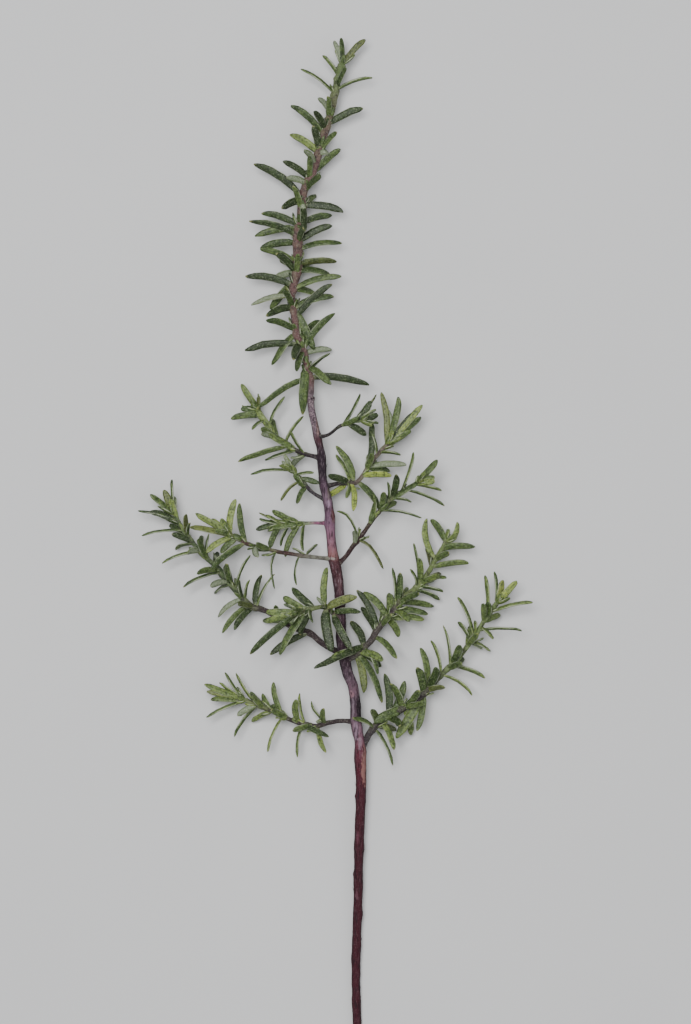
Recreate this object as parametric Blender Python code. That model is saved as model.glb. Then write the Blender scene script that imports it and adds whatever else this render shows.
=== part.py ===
"""A cut rosemary sprig, lying on a table with its tip towards +Y.

A bare woody stem carries one leafy leader at its end and twelve leafy side shoots.
Each leafy stem is one closed solid: its twig with every blade rooted in it.
Lengths are in millimetres until a mesh is made, and a mesh is in metres, +Z up.
"""
import math
import random

import bmesh
import bpy
import numpy
from mathutils import Quaternion, Vector

# Driving dimensions, in millimetres
MM = 0.001
PLAN_UNIT = 0.45            # one unit of the plan sheet: the sprig is 1023 units long and 391 wide
PLAN_CENTRE = (335, 548)    # the plan point above the origin; the sheet's y runs down
JOINT_GAP = 0.3             # between the face of a branch collar and the twig that grows from it
BLADE_THICKNESS = 0.9
BLADE_WIDTH = 3.5
LEAF_CLEARANCE = 3.5        # between the middle lines of blades on different stems
FLOOR_CLEARANCE = 0.5       # from the table to the middle line of a blade
CUT_SLANT = math.radians(28)
CUT_INSET = 2.0             # from the end of the stem's path to the middle of the cut
FLAT_ANGLE = math.radians(0.5)  # faces that meet at less are one flat face

STEM_SIDES = 2              # bevel resolutions: 8 sides on the stem and 6 on a twig
TWIG_SIDES = 1
WELD_DISTANCE = 0.01        # points of a tube that are nearer than this are one

COLLAR_LENGTH = 5.0         # of bare branch that belongs to the stem, from the stem's middle line
COLLAR_SWELL = 1.25         # a collar is this much thicker than its twig
SHORT_STEP = 0.8            # a path point nearer than this to the end of a stretch is left out

# A blade. Its curve is pulled towards a point BEND_SHARE of the way along it, moved by
# BEND_LEAD of its span towards the twig's tip
BEND_SHARE = 0.45
BEND_LEAD = 0.16
YOUNGEST = 0.62             # length of the last blade, as a share of a full-grown one
YOUTH_POWER = 3             # blades get short only near the end of a twig
SPREAD = 0.1                # lengths and widths vary by this share, rolls by this angle
RISE_SHARE = 0.75           # of the length that the plan doesn't show, taken up by the rise
RISE_SPREAD = 1.5
FIRST_ROOT = 1.5            # from the end of a collar to the first root
LAST_ROOT = 0.4             # from the last root to the end of a twig
STEEPEST = 0.2              # sine of the angle to the vertical at which a blade's side is set by hand
HEIGHT_CHANGES = (0, 3, -3, 6, -6, 9, -9, 12, -12, 15, -15, 18)  # tried until a blade is clear
BLADE_PLACES = 8            # places along a blade, and along a twig, where others keep clear
TWIG_PLACES = 40
STEM_PLACE_STEP = 2.0       # and the distance between such places on the stem
TWIG_REACH = 1.1            # half the thickness of a twig that blades keep clear of

# The hidden pairs: where they start and end on a twig, their length and width as shares of a
# full blade's, how far they turn about the twig, and the angle between blade and twig
PAIR_START_SHARE = 0.2
PAIR_START = 3.0
PAIR_END = 4.0
PAIR_LENGTH = (0.7, 0.9)
PAIR_WIDTH = 0.9
PAIR_TURN = 0.6
PAIR_LEAN = (0.75, 1.05)
PAIR_ROLL = 0.4

# The pair of young blades at the end of a twig whose end rises TUFT_RISE above its base: their
# length, width and angle to the twig, how much their turn about it and their length vary, and
# their outward bow
TUFT_RISE = 3.0
TUFT_LENGTH = 8.0
TUFT_WIDTH = 2.6
TUFT_LEAN = 0.62
TUFT_SPREAD = 0.2
TUFT_SIZES = (0.85, 1.15)
TUFT_BOW = 0.12

# The sections of a blade: the share of its length, and the breadth there as a share of its
# width. The corners of a section: across in widths and up in thicknesses
BLADE_SECTIONS = ((0.0, 0.42), (0.3, 1.0), (0.8, 0.9), (1.0, 0.35))
SHORT_BLADE_SECTIONS = ((0.0, 0.42), (0.5, 1.0), (1.0, 0.35))  # of the pairs and tufts
BLADE_CORNERS = ((0.0, 0.6), (0.5, -0.4), (-0.5, -0.4))

# The bare stem from the cut end up: plan x, plan y, height of its middle, diameter
STEM_PATH = [
    (356, 1060, 2.0, 4.0), (357, 1024, 2.1, 4.0), (356, 969, 2.9, 4.0), (358, 900, 4.6, 4.1),
    (359, 845, 6.2, 4.3), (361, 787, 8.2, 4.7), (360, 762, 9.1, 5.0), (360, 745, 9.7, 5.0),
    (356, 723, 10.4, 4.9), (355, 702, 11.0, 4.7), (353, 687, 11.4, 4.6), (347, 671, 11.8, 4.7),
    (343, 650, 12.3, 4.8), (341, 628, 12.6, 4.7), (339, 591, 13.0, 4.6), (337, 574, 13.0, 4.7),
    (333, 555, 13.0, 4.6), (330, 527, 13.0, 4.3), (328, 503, 13.0, 4.0), (323, 481, 12.8, 3.8),
    (321, 453, 12.5, 3.4), (316, 431, 12.2, 3.3), (312, 412, 12.0, 3.2), (310, 397, 11.9, 3.2),
]

# The looks of a blade: its roll away from lying face up, and its width as a share of a full one.
# An edge blade shows its side from above, and a pale one shows its underside
D, M, Y, G, E, P, F = "dark", "mid", "young", "yellow", "edge", "pale", "broad"
LOOKS = {D: (0.2, 1.1), M: (0.4, 1.08), Y: (0.3, 1.08), G: (0.3, 0.9), E: (1.12, 0.85),
         P: (math.pi - 0.3, 1.0), F: (0.1, 1.4)}

# A leafy stem has its path on the plan, the heights of its base and tip, its diameters there,
# the length of a full-grown blade, the number of its hidden pairs, the seed of its draws and,
# where its blades are narrow, their breadth as a share.
# A row of its blades is plan x and y of the tip, plan x and y of the root, and the look.
LEADER = {
    "name": "leader",
    "path": [(310, 397), (310, 381), (303, 351), (297, 335), (294, 317), (292, 296), (296, 276),
             (297, 260), (298, 238), (301, 217), (303, 194), (313, 171), (318, 156), (325, 131),
             (332, 108), (336, 87), (342, 64)],
    "heights": (11.9, 10.0), "diameters": (3.2, 2.0), "blade": 17, "collar": 0,
    "pairs": 8, "seed": 3,
    "blades": [
        (341, 37, 341, 62, M), (365, 39, 345, 62, M), (334, 40, 340, 56, P),
        (322, 55, 336, 76, E), (301, 69, 330, 93, E), (372, 77, 338, 91, E),
        (318, 100, 328, 113, P), (363, 108, 331, 126, D), (291, 105, 320, 134, M),
        (314, 113, 317, 128, D), (290, 134, 311, 151, Y), (313, 127, 316, 151, D),
        (340, 149, 317, 176, M), (330, 154, 309, 151, P), (283, 162, 306, 178, D),
        (305, 152, 314, 165, P), (287, 179, 308, 185, P), (254, 163, 302, 197, D),
        (321, 177, 311, 194, M), (282, 209, 300, 200, D), (344, 212, 304, 206, D),
        (303, 217, 301, 203, P), (332, 215, 303, 224, M), (261, 213, 299, 226, D),
        (249, 221, 298, 236, D), (255, 236, 299, 229, M), (332, 225, 301, 243, D),
        (261, 248, 297, 243, M), (342, 243, 299, 250, M), (261, 249, 296, 264, M),
        (277, 255, 296, 273, D), (337, 262, 297, 265, M), (330, 274, 296, 271, M),
        (245, 276, 294, 286, D), (272, 279, 296, 273, P), (342, 276, 294, 289, M),
        (270, 309, 292, 280, M), (251, 305, 292, 296, P), (319, 296, 293, 289, M),
        (332, 284, 295, 320, D), (334, 296, 293, 309, M), (267, 317, 292, 308, D),
        (314, 349, 292, 311, F), (267, 321, 296, 331, M), (335, 313, 304, 350, M),
        (321, 320, 299, 340, M), (245, 350, 301, 345, D), (272, 365, 297, 333, M),
        (294, 361, 299, 344, D), (297, 372, 306, 350, M), (332, 349, 306, 354, P),
        (330, 354, 308, 372, E), (369, 385, 310, 378, D), (331, 385, 307, 366, M),
        (303, 414, 306, 366, F), (257, 410, 309, 378, M), (300, 233, 299, 226, M),
        (279, 258, 294, 270, M), (305, 232, 309, 205, D),
    ],
}
SIDE_SHOOTS = [
    {
        "name": "shoot_low_left",
        "path": [(356, 722), (341, 721), (329, 723), (315, 726), (298, 723), (284, 717),
                 (273, 712), (258, 706), (244, 700)],
        "heights": (10.4, 8.5), "diameters": (2.0, 1.4), "blade": 15, "pairs": 3, "seed": 11,
        "breadth": 0.8,
        "blades": [
            (204, 685, 240, 700, M), (206, 692, 243, 701, Y), (210, 700, 246, 702, M),
            (219, 683, 246, 700, E), (225, 673, 245, 700, E), (236, 673, 257, 704, E),
            (262, 695, 272, 712, M), (273, 683, 283, 715, M), (296, 699, 299, 722, M),
            (300, 693, 306, 722, E), (311, 702, 324, 714, E), (324, 708, 325, 724, M),
            (206, 718, 246, 702, E), (237, 716, 256, 707, P), (234, 737, 257, 708, E),
            (252, 722, 272, 713, M), (267, 753, 283, 718, E), (297, 758, 303, 726, E),
            (329, 736, 303, 726, D), (326, 752, 318, 727, Y), (212, 689, 244, 700, Y),
        ],
    },
    {
        "name": "shoot_low_right",
        "path": [(360, 752), (370, 733), (379, 723), (395, 713), (409, 705), (426, 692),
                 (440, 676), (457, 660), (471, 641), (485, 620), (497, 603)],
        "heights": (9.4, 12.0), "diameters": (2.9, 1.6), "blade": 16, "collar": 11,
        "pairs": 5, "seed": 12,
        "blades": [
            (517, 581, 496, 604, Y), (503, 580, 496, 603, Y), (494, 571, 496, 603, E),
            (485, 575, 485, 617, E), (488, 602, 486, 619, M), (533, 602, 493, 614, E),
            (474, 621, 476, 636, E), (457, 597, 473, 636, E), (458, 622, 470, 642, E),
            (522, 631, 479, 632, E), (492, 639, 482, 628, E), (483, 649, 470, 643, P),
            (491, 652, 472, 643, E), (443, 625, 449, 666, E), (459, 645, 451, 664, D),
            (431, 641, 440, 674, E), (485, 678, 451, 666, E), (472, 696, 441, 675, E),
            (420, 647, 428, 689, M), (417, 667, 423, 694, D), (437, 667, 428, 690, D),
            (385, 674, 387, 716, D), (405, 681, 391, 714, D), (391, 683, 401, 709, M),
            (419, 690, 404, 707, M), (371, 709, 376, 725, M), (374, 722, 402, 709, F),
            (396, 738, 421, 696, F), (417, 731, 424, 695, M), (411, 736, 404, 708, M),
            (400, 725, 388, 718, D), (396, 732, 377, 727, D), (394, 749, 381, 722, M),
            (393, 766, 373, 731, E), (353, 717, 371, 731, E),
        ],
    },
    {
        "name": "shoot_mid_left_long",
        "path": [(343, 655), (323, 644), (310, 633), (292, 627), (268, 612), (253, 607),
                 (240, 596), (229, 583), (220, 570), (207, 559), (198, 549), (188, 536),
                 (179, 523), (174, 514)],
        "heights": (10.0, 11.0), "diameters": (2.6, 1.6), "blade": 16, "pairs": 5, "seed": 13,
        "breadth": 0.85,
        "blades": [
            (172, 479, 174, 514, E), (164, 490, 174, 514, Y), (171, 499, 177, 520, Y),
            (150, 495, 175, 516, M), (150, 511, 180, 524, D), (137, 511, 178, 521, E),
            (142, 536, 184, 531, E), (172, 534, 192, 543, D), (174, 549, 194, 544, E),
            (162, 563, 200, 552, E), (188, 553, 200, 551, P), (190, 523, 188, 536, E),
            (201, 535, 202, 554, M), (209, 534, 207, 558, E), (217, 552, 218, 567, D),
            (198, 573, 220, 571, M), (183, 587, 221, 573, E), (211, 586, 229, 582, P),
            (214, 594, 230, 585, E), (226, 564, 232, 587, D), (250, 555, 235, 591, E),
            (240, 580, 243, 599, E), (250, 580, 245, 601, E), (261, 575, 256, 607, D),
            (275, 574, 257, 607, E), (218, 617, 243, 599, P), (222, 633, 250, 605, M),
            (235, 629, 253, 607, D), (270, 655, 309, 633, D),
        ],
    },
    {
        "name": "shoot_mid_left_short",
        "path": [(334, 559), (323, 558), (305, 556), (281, 552), (259, 547), (246, 543),
                 (230, 534)],
        "heights": (13.0, 18.0), "diameters": (1.8, 1.3), "blade": 15, "pairs": 1, "seed": 14,
        "breadth": 0.9,
        "blades": [
            (196, 513, 231, 535, Y), (190, 527, 232, 536, Y), (207, 552, 234, 536, Y),
            (236, 499, 231, 534, Y), (232, 510, 231, 534, Y), (212, 519, 231, 535, Y),
            (222, 519, 232, 535, Y), (240, 503, 247, 543, M), (245, 540, 233, 536, M),
            (221, 553, 237, 539, M), (211, 570, 246, 543, M), (258, 557, 256, 547, P),
            (275, 589, 277, 552, E), (297, 585, 300, 555, E), (318, 545, 306, 556, E),
        ],
    },
    {
        "name": "shoot_left_small",
        "path": [(329, 523), (316, 523), (305, 523), (292, 524), (280, 524)],
        "heights": (13.0, 11.0), "diameters": (1.5, 1.2), "blade": 12, "pairs": 0, "seed": 15,
        "breadth": 0.8,
        "blades": [
            (273, 510, 300, 523, M), (259, 513, 290, 523, E), (259, 519, 284, 524, E),
            (256, 529, 281, 524, D), (272, 528, 304, 523, M), (270, 548, 281, 524, M),
            (281, 546, 290, 524, E), (285, 557, 300, 524, M), (303, 551, 305, 523, E),
        ],
    },
    {
        "name": "shoot_high_left",
        "path": [(321, 458), (305, 454), (294, 449), (283, 444), (273, 433), (264, 418),
                 (258, 410)],
        "heights": (12.4, 8.5), "diameters": (1.8, 1.4), "blade": 15, "pairs": 1, "seed": 16,
        "breadth": 0.9,
        "blades": [
            (241, 384, 259, 411, Y), (259, 396, 260, 412, E), (241, 409, 259, 411, D),
            (231, 418, 262, 416, M), (252, 430, 264, 421, E), (256, 408, 274, 435, Y),
            (284, 397, 269, 426, E), (261, 434, 278, 439, P), (269, 434, 297, 451, M),
            (290, 430, 305, 454, E), (304, 416, 285, 445, E), (238, 462, 288, 447, M),
            (265, 461, 297, 451, E), (292, 466, 306, 454, P),
        ],
    },
    {
        "name": "shoot_high_left_second",
        "path": [(327, 501), (312, 492), (303, 481), (292, 470)],
        "heights": (13.0, 17.5), "diameters": (1.6, 1.3), "blade": 12, "pairs": 0, "seed": 17,
        "breadth": 0.75,
        "blades": [
            (251, 474, 293, 471, E), (281, 501, 303, 481, E), (297, 504, 307, 486, M),
            (320, 484, 301, 478, D), (314, 473, 297, 475, E), (303, 488, 295, 473, M),
        ],
    },
    {
        "name": "shoot_top_right",
        "path": [(317, 437), (328, 435), (339, 427), (350, 423), (361, 421)],
        "heights": (12.3, 20.0), "diameters": (1.5, 1.2), "blade": 12, "pairs": 0, "seed": 18,
        "breadth": 0.85,
        "blades": [
            (360, 394, 342, 426, E), (376, 395, 352, 423, E), (371, 402, 355, 422, D),
            (359, 418, 341, 427, M), (378, 415, 360, 421, D), (379, 424, 360, 421, E),
            (366, 435, 347, 424, D),
        ],
    },
    {
        "name": "shoot_high_right",
        "path": [(324, 487), (336, 484), (349, 483), (358, 481), (369, 466), (379, 453),
                 (388, 444)],
        "heights": (12.8, 13.5), "diameters": (1.8, 1.4), "blade": 15, "pairs": 1, "seed": 23,
        "breadth": 0.95,
        "blades": [
            (422, 405, 386, 446, Y), (381, 392, 386, 446, Y), (389, 410, 387, 446, P),
            (399, 397, 388, 444, M), (421, 417, 386, 447, M), (413, 413, 388, 444, D),
            (411, 431, 383, 449, M), (371, 421, 369, 466, D), (371, 431, 377, 456, E),
            (401, 455, 380, 453, E), (337, 446, 354, 482, M), (336, 455, 350, 483, E),
            (328, 475, 348, 483, D), (322, 498, 347, 483, G), (353, 511, 351, 483, G),
            (346, 498, 348, 483, E), (381, 510, 357, 482, M), (391, 476, 362, 477, G),
            (406, 465, 368, 467, P), (390, 471, 367, 469, D),
        ],
    },
    {
        "name": "shoot_mid_right",
        "path": [(336, 566), (346, 556), (353, 546), (362, 535), (371, 522), (386, 503),
                 (401, 492), (417, 483)],
        "heights": (13.0, 17.0), "diameters": (2.0, 1.4), "blade": 15, "pairs": 1, "seed": 20,
        "breadth": 0.85,
        "blades": [
            (337, 511, 358, 540, E), (383, 569, 358, 541, E), (354, 531, 355, 545, P),
            (375, 504, 369, 525, M), (374, 496, 373, 519, E), (421, 518, 380, 511, E),
            (387, 482, 388, 501, E), (396, 475, 391, 499, D), (413, 452, 400, 492, E),
            (437, 460, 415, 484, M), (434, 477, 416, 483, Y), (434, 482, 415, 484, Y),
            (441, 491, 414, 485, E), (445, 506, 405, 490, E), (411, 502, 392, 498, E),
            (384, 494, 382, 508, D), (418, 482, 388, 501, M),
        ],
    },
    {
        "name": "shoot_long_right",
        "path": [(343, 664), (355, 654), (369, 643), (379, 628), (395, 609), (401, 599),
                 (418, 586), (432, 566), (442, 549), (447, 541)],
        "heights": (12.0, 10.0), "diameters": (2.7, 1.6), "blade": 16, "pairs": 4, "seed": 21,
        "breadth": 0.95,
        "blades": [
            (427, 519, 437, 560, Y), (427, 548, 431, 567, D), (431, 519, 446, 543, M),
            (458, 522, 446, 543, Y), (475, 547, 442, 550, M), (469, 563, 431, 568, M),
            (447, 578, 423, 580, E), (413, 543, 418, 586, E), (419, 558, 420, 584, M),
            (410, 569, 417, 587, E), (443, 592, 417, 587, E), (440, 600, 413, 590, E),
            (392, 568, 396, 608, E), (400, 573, 398, 604, D), (389, 594, 389, 616, M),
            (434, 607, 399, 603, M), (428, 615, 394, 610, M), (424, 620, 387, 619, M),
            (409, 621, 394, 610, M), (357, 590, 378, 630, D), (361, 608, 376, 633, D),
            (364, 592, 388, 618, M), (399, 636, 387, 619, M), (397, 658, 374, 636, M),
            (351, 622, 364, 647, D), (331, 657, 360, 650, M), (315, 667, 366, 645, D),
            (383, 660, 358, 652, M), (381, 667, 358, 652, D), (378, 673, 364, 647, E),
            (382, 703, 357, 653, M), (364, 692, 356, 654, M),
        ],
    },
    {
        "name": "shoot_front",
        "path": [(341, 622), (333, 613), (325, 607), (312, 608), (299, 611)],
        "heights": (12.7, 26.0), "diameters": (2.0, 1.4), "blade": 16, "pairs": 0, "seed": 22,
        "blades": [
            (327, 567, 327, 603, Y), (357, 596, 329, 604, Y), (361, 611, 333, 612, M),
            (292, 587, 315, 607, M), (284, 596, 307, 609, Y), (266, 611, 300, 611, Y),
            (266, 621, 298, 612, Y), (251, 653, 297, 612, M), (280, 654, 309, 612, M),
            (332, 651, 325, 609, F), (352, 650, 334, 613, D), (301, 606, 300, 611, Y),
            (313, 621, 311, 610, E), (300, 634, 312, 610, D),
        ],
    },
]

# Colours as linear red, green and blue
BARK_COLOUR = (0.112, 0.041, 0.045, 1)
LEAF_COLOUR = (0.062, 0.106, 0.028, 1)


def on_plan(x, y, height):
    """The place in space of a plan point at a height above the table."""
    return Vector(((x - PLAN_CENTRE[0]) * PLAN_UNIT, (PLAN_CENTRE[1] - y) * PLAN_UNIT, height))


def lengths_along(path):
    """The distance of each point from the start, measured along the path."""
    along = [0.0]
    for start, end in zip(path, path[1:]):
        along.append(along[-1] + (end - start).length)
    return along


def place_along(path, distance):
    """The point at a distance along the path, and the path's direction there."""
    along = lengths_along(path)
    for k in range(len(path) - 1):
        if distance <= along[k + 1] or k == len(path) - 2:
            direction = (path[k + 1] - path[k]).normalized()
            return path[k] + direction * (distance - along[k]), direction


def stretch(path, start, end):
    """The part of a path between two distances along it."""
    along = lengths_along(path)
    inner = [point for point, at in zip(path, along) if start + SHORT_STEP < at < end - SHORT_STEP]
    return [place_along(path, start)[0], *inner, place_along(path, end)[0]]


def nearest_along(path, x, y):
    """The distance along the path of its point nearest to a plan point."""
    target = on_plan(x, y, 0).to_2d()
    along = lengths_along(path)
    best = (math.inf, 0.0)
    for k in range(len(path) - 1):
        start, end = path[k].to_2d(), path[k + 1].to_2d()
        share = (target - start).dot(end - start) / max((end - start).length_squared, 1e-9)
        share = min(max(share, 0.0), 1.0)
        miss = (start.lerp(end, share) - target).length
        best = min(best, (miss, along[k] + share * (along[k + 1] - along[k])))
    return best[1]


class Twig:
    """The middle line of a leafy stem, from the collar that it grows out of to its end."""

    def __init__(self, shoot, whole_path, collar):
        self.shoot = shoot
        self.collar = collar
        self.path = whole_path
        self.length = lengths_along(whole_path)[-1]

    def radius(self, distance):
        base, tip = self.shoot["diameters"]
        return 0.5 * (base + (tip - base) * distance / self.length)


def make_twig(shoot):
    collar = shoot.get("collar", COLLAR_LENGTH)
    base, tip = shoot["heights"]
    count = len(shoot["path"]) - 1
    points = [on_plan(x, y, base + (tip - base) * k / count)
              for k, (x, y) in enumerate(shoot["path"])]
    return Twig(shoot, points, collar)


class Blade:
    """One leaf: its middle line is a quadratic curve from root to tip, pulled towards bend."""

    def __init__(self, root, bend, tip, roll, width):
        self.root, self.bend, self.tip = root, bend, tip
        self.width = width
        self.sections = BLADE_SECTIONS
        line = (tip - root).normalized()
        level = line.cross(Vector((0, 0, 1)))
        if level.length < STEEPEST:
            level = Vector((1, 0, 0))
        level.normalize()
        upright = level.cross(line).normalized()
        self.side = level * math.cos(roll) + upright * math.sin(roll)

    def point(self, t):
        return self.root * (1 - t) ** 2 + self.bend * (2 * t * (1 - t)) + self.tip * t ** 2

    def direction(self, t):
        return ((self.bend - self.root) * (1 - t) + (self.tip - self.bend) * t).normalized()


class Neighbours:
    """Points on the middle lines of all that is placed already, to keep other stems' blades off."""

    def __init__(self):
        self.points, self.reaches, self.owners = [], [], []

    def add(self, points, reach, owner):
        self.points += [tuple(point) for point in points]
        self.reaches += [reach] * len(points)
        self.owners += [owner] * len(points)

    def clear(self, points, owner):
        if min(point.z for point in points) < FLOOR_CLEARANCE:
            return False
        others = numpy.array(self.owners) != owner
        if not others.any():
            return True
        there = numpy.array(self.points)[others]
        reach = numpy.array(self.reaches)[others]
        here = numpy.array([tuple(point) for point in points])
        apart = numpy.linalg.norm(there[None, :, :] - here[:, None, :], axis=2)
        return bool((apart > reach[None, :]).all())


def blade_samples(blade):
    return [blade.point((k + 1) / BLADE_PLACES) for k in range(BLADE_PLACES)]


def clear_blade(root, direction, tip, roll, width, twig_name, neighbours):
    """A blade whose tip is raised or lowered until it is clear of the table and the other stems."""
    span = (tip - root).length
    for change in HEIGHT_CHANGES:
        height = max(tip.z + change, FLOOR_CLEARANCE)
        raised = Vector((tip.x, tip.y, height))
        bend = root.lerp(raised, BEND_SHARE) + direction * (BEND_LEAD * span)
        bend.z = max(bend.z, 2 * FLOOR_CLEARANCE)
        blade = Blade(root, bend, raised, roll, width)
        if neighbours.clear(blade_samples(blade), twig_name):
            return blade
    return None


def drawn_blades(twig, draw, neighbours):
    """The blades that the plan gives: a blade short on the plan rises or sinks to its full length."""
    shoot = twig.shoot
    for tip_x, tip_y, root_x, root_y, look in shoot["blades"]:
        distance = max(nearest_along(twig.path, root_x, root_y), twig.collar + FIRST_ROOT)
        root, direction = place_along(twig.path, min(distance, twig.length - LAST_ROOT))
        youth = 1 - (1 - YOUNGEST) * (distance / twig.length) ** YOUTH_POWER
        full = shoot["blade"] * youth * draw.uniform(1 - SPREAD, 1 + SPREAD)
        tip = on_plan(tip_x, tip_y, root.z)
        lack = math.sqrt(max(full ** 2 - (tip - root).length_squared, 0))
        tip.z += RISE_SHARE * lack * draw.choice((1, 1, -1)) + draw.uniform(-RISE_SPREAD, RISE_SPREAD)
        roll, breadth = LOOKS[look]
        roll = draw.choice((1, -1)) * (roll + draw.uniform(-SPREAD, SPREAD))
        width = BLADE_WIDTH * shoot.get("breadth", 1) * breadth
        width *= draw.uniform(1 - SPREAD, 1 + SPREAD)
        yield clear_blade(root, direction, tip, roll, width, shoot["name"], neighbours)


def paired_blades(twig, draw, neighbours):
    """The pairs that the plan hides: one blade up and one down, turned a little at each pair."""
    shoot = twig.shoot
    start = PAIR_START_SHARE * twig.length + PAIR_START
    room = twig.length - PAIR_END - start
    for k in range(shoot["pairs"]):
        root, direction = place_along(twig.path, start + room * (k + 0.5) / shoot["pairs"])
        full = shoot["blade"] * draw.uniform(*PAIR_LENGTH)
        sideways = direction.cross(Vector((0, 0, 1))).normalized()
        for side in (1, -1):
            turn = draw.uniform(-PAIR_TURN, PAIR_TURN)
            outwards = Vector((0, 0, side * math.cos(turn))) + sideways * math.sin(turn)
            lean = draw.uniform(*PAIR_LEAN)
            tip = root + (direction * math.cos(lean) + outwards * math.sin(lean)) * full
            blade = clear_blade(root, direction, tip, draw.uniform(-PAIR_ROLL, PAIR_ROLL),
                                BLADE_WIDTH * PAIR_WIDTH, shoot["name"], neighbours)
            if blade:
                blade.sections = SHORT_BLADE_SECTIONS
            yield blade


def young_blade(root, direction, outwards, lean, length, width):
    """A blade that leaves its twig at an angle and bows outwards on the way."""
    aim = (direction * math.cos(lean) + outwards * math.sin(lean)).normalized()
    tip = root + aim * length
    tip.z = max(tip.z, FLOOR_CLEARANCE)
    blade = Blade(root, root.lerp(tip, 0.5) + outwards * (TUFT_BOW * length), tip, 0, width)
    blade.side = aim.cross(outwards).normalized()
    blade.sections = SHORT_BLADE_SECTIONS
    return blade


def tuft_blades(twig, draw, neighbours):
    """The pair of young blades at the end of a twig that rises."""
    base, tip = twig.shoot["heights"]
    if tip - base < TUFT_RISE:
        return
    root, direction = place_along(twig.path, twig.length - LAST_ROOT)
    level = direction.cross(Vector((0, 0, 1))).normalized()
    for half in (0, 1):
        turn = twig.shoot["seed"] + half * math.pi + draw.uniform(-TUFT_SPREAD, TUFT_SPREAD)
        outwards = Quaternion(direction, turn) @ level
        blade = young_blade(root, direction, outwards, TUFT_LEAN,
                            TUFT_LENGTH * draw.uniform(*TUFT_SIZES), TUFT_WIDTH)
        yield blade if neighbours.clear(blade_samples(blade), twig.shoot["name"]) else None


def grow(twigs):
    """Every blade of every leafy stem, kept clear of the blades and twigs of the others."""
    neighbours = Neighbours()
    for start, end in zip(STEM_PATH, STEM_PATH[1:]):
        a, b = on_plan(*start[:3]), on_plan(*end[:3])
        steps = math.ceil((b - a).length / STEM_PLACE_STEP)
        neighbours.add([a.lerp(b, k / steps) for k in range(steps)],
                       start[3] / 2 + BLADE_WIDTH / 2 + JOINT_GAP, "main_stem")
    for twig in twigs:
        places = [place_along(twig.path, twig.length * k / TWIG_PLACES)[0]
                  for k in range(TWIG_PLACES + 1)]
        neighbours.add(places, BLADE_WIDTH / 2 + TWIG_REACH + JOINT_GAP, twig.shoot["name"])
    grown = {}
    for twig in twigs:
        draw = random.Random(twig.shoot["seed"])
        kept = []
        for kind in (drawn_blades, paired_blades, tuft_blades):
            for blade in kind(twig, draw, neighbours):
                if blade:
                    kept.append(blade)
                    neighbours.add(blade_samples(blade), LEAF_CLEARANCE, twig.shoot["name"])
        grown[twig.shoot["name"]] = kept
    return grown


def new_object(name, mesh, collection):
    made = bpy.data.objects.new(name, mesh)
    collection.objects.link(made)
    return made


def tube(name, path, radii, sides, collection):
    """A closed tube along a path, made from a bevelled curve with filled caps."""
    curve = bpy.data.curves.new(name, "CURVE")
    curve.dimensions = "3D"
    curve.bevel_depth = MM
    curve.bevel_resolution = sides
    curve.use_fill_caps = True
    spline = curve.splines.new("POLY")
    spline.points.add(len(path) - 1)
    for point, place, radius in zip(spline.points, path, radii):
        point.co = (*(place * MM), 1)
        point.radius = radius
    guide = new_object(name + "_line", curve, collection)
    graph = bpy.context.evaluated_depsgraph_get()
    mesh = bpy.data.meshes.new_from_object(guide.evaluated_get(graph))
    bpy.data.objects.remove(guide)
    work = bmesh.new()
    work.from_mesh(mesh)
    bmesh.ops.remove_doubles(work, verts=work.verts, dist=WELD_DISTANCE * MM)
    bmesh.ops.recalc_face_normals(work, faces=work.faces)
    work.to_mesh(mesh)
    work.free()
    return new_object(name, mesh, collection)


def blade_mesh(name, blade, collection):
    """A strap lofted through its sections, which are flat below and ridged above."""
    work = bmesh.new()
    rings = []
    for t, breadth in blade.sections:
        centre, direction = blade.point(t), blade.direction(t)
        up = blade.side.cross(direction).normalized()
        rings.append([work.verts.new((centre + blade.side * (across * breadth * blade.width)
                                      + up * (above * BLADE_THICKNESS)) * MM)
                      for across, above in BLADE_CORNERS])
    for low, high in zip(rings, rings[1:]):
        for k in range(len(BLADE_CORNERS)):
            work.faces.new((low[k], low[k - 1], high[k - 1], high[k]))
    work.faces.new(rings[0])
    work.faces.new(reversed(rings[-1]))
    bmesh.ops.recalc_face_normals(work, faces=work.faces)
    bmesh.ops.triangulate(work, faces=work.faces)
    mesh = bpy.data.meshes.new(name)
    work.to_mesh(mesh)
    work.free()
    return new_object(name, mesh, collection)


def join(base, pieces, collection):
    """Joins the pieces of a collection to the base and removes them."""
    union = base.modifiers.new("join", "BOOLEAN")
    union.operation = "UNION"
    union.operand_type = "COLLECTION"
    union.collection = pieces
    union.solver = "MANIFOLD"
    graph = bpy.context.evaluated_depsgraph_get()
    mesh = bpy.data.meshes.new_from_object(base.evaluated_get(graph))
    base.modifiers.remove(union)
    base.data = mesh
    work = bmesh.new()
    work.from_mesh(mesh)
    bmesh.ops.dissolve_limit(work, angle_limit=FLAT_ANGLE, verts=work.verts, edges=work.edges)
    bmesh.ops.triangulate(work, faces=work.faces)
    work.to_mesh(mesh)
    work.free()
    for piece in list(pieces.objects):
        bpy.data.objects.remove(piece)
    bpy.data.collections.remove(pieces)


def material(name, colour, roughness):
    made = bpy.data.materials.new(name)
    made.use_nodes = True
    shader = made.node_tree.nodes["Principled BSDF"]
    shader.inputs["Base Color"].default_value = colour
    shader.inputs["Roughness"].default_value = roughness
    shader.inputs["Metallic"].default_value = 0
    return made


def new_collection(name):
    made = bpy.data.collections.new(name)
    bpy.context.scene.collection.children.link(made)
    return made


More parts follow.
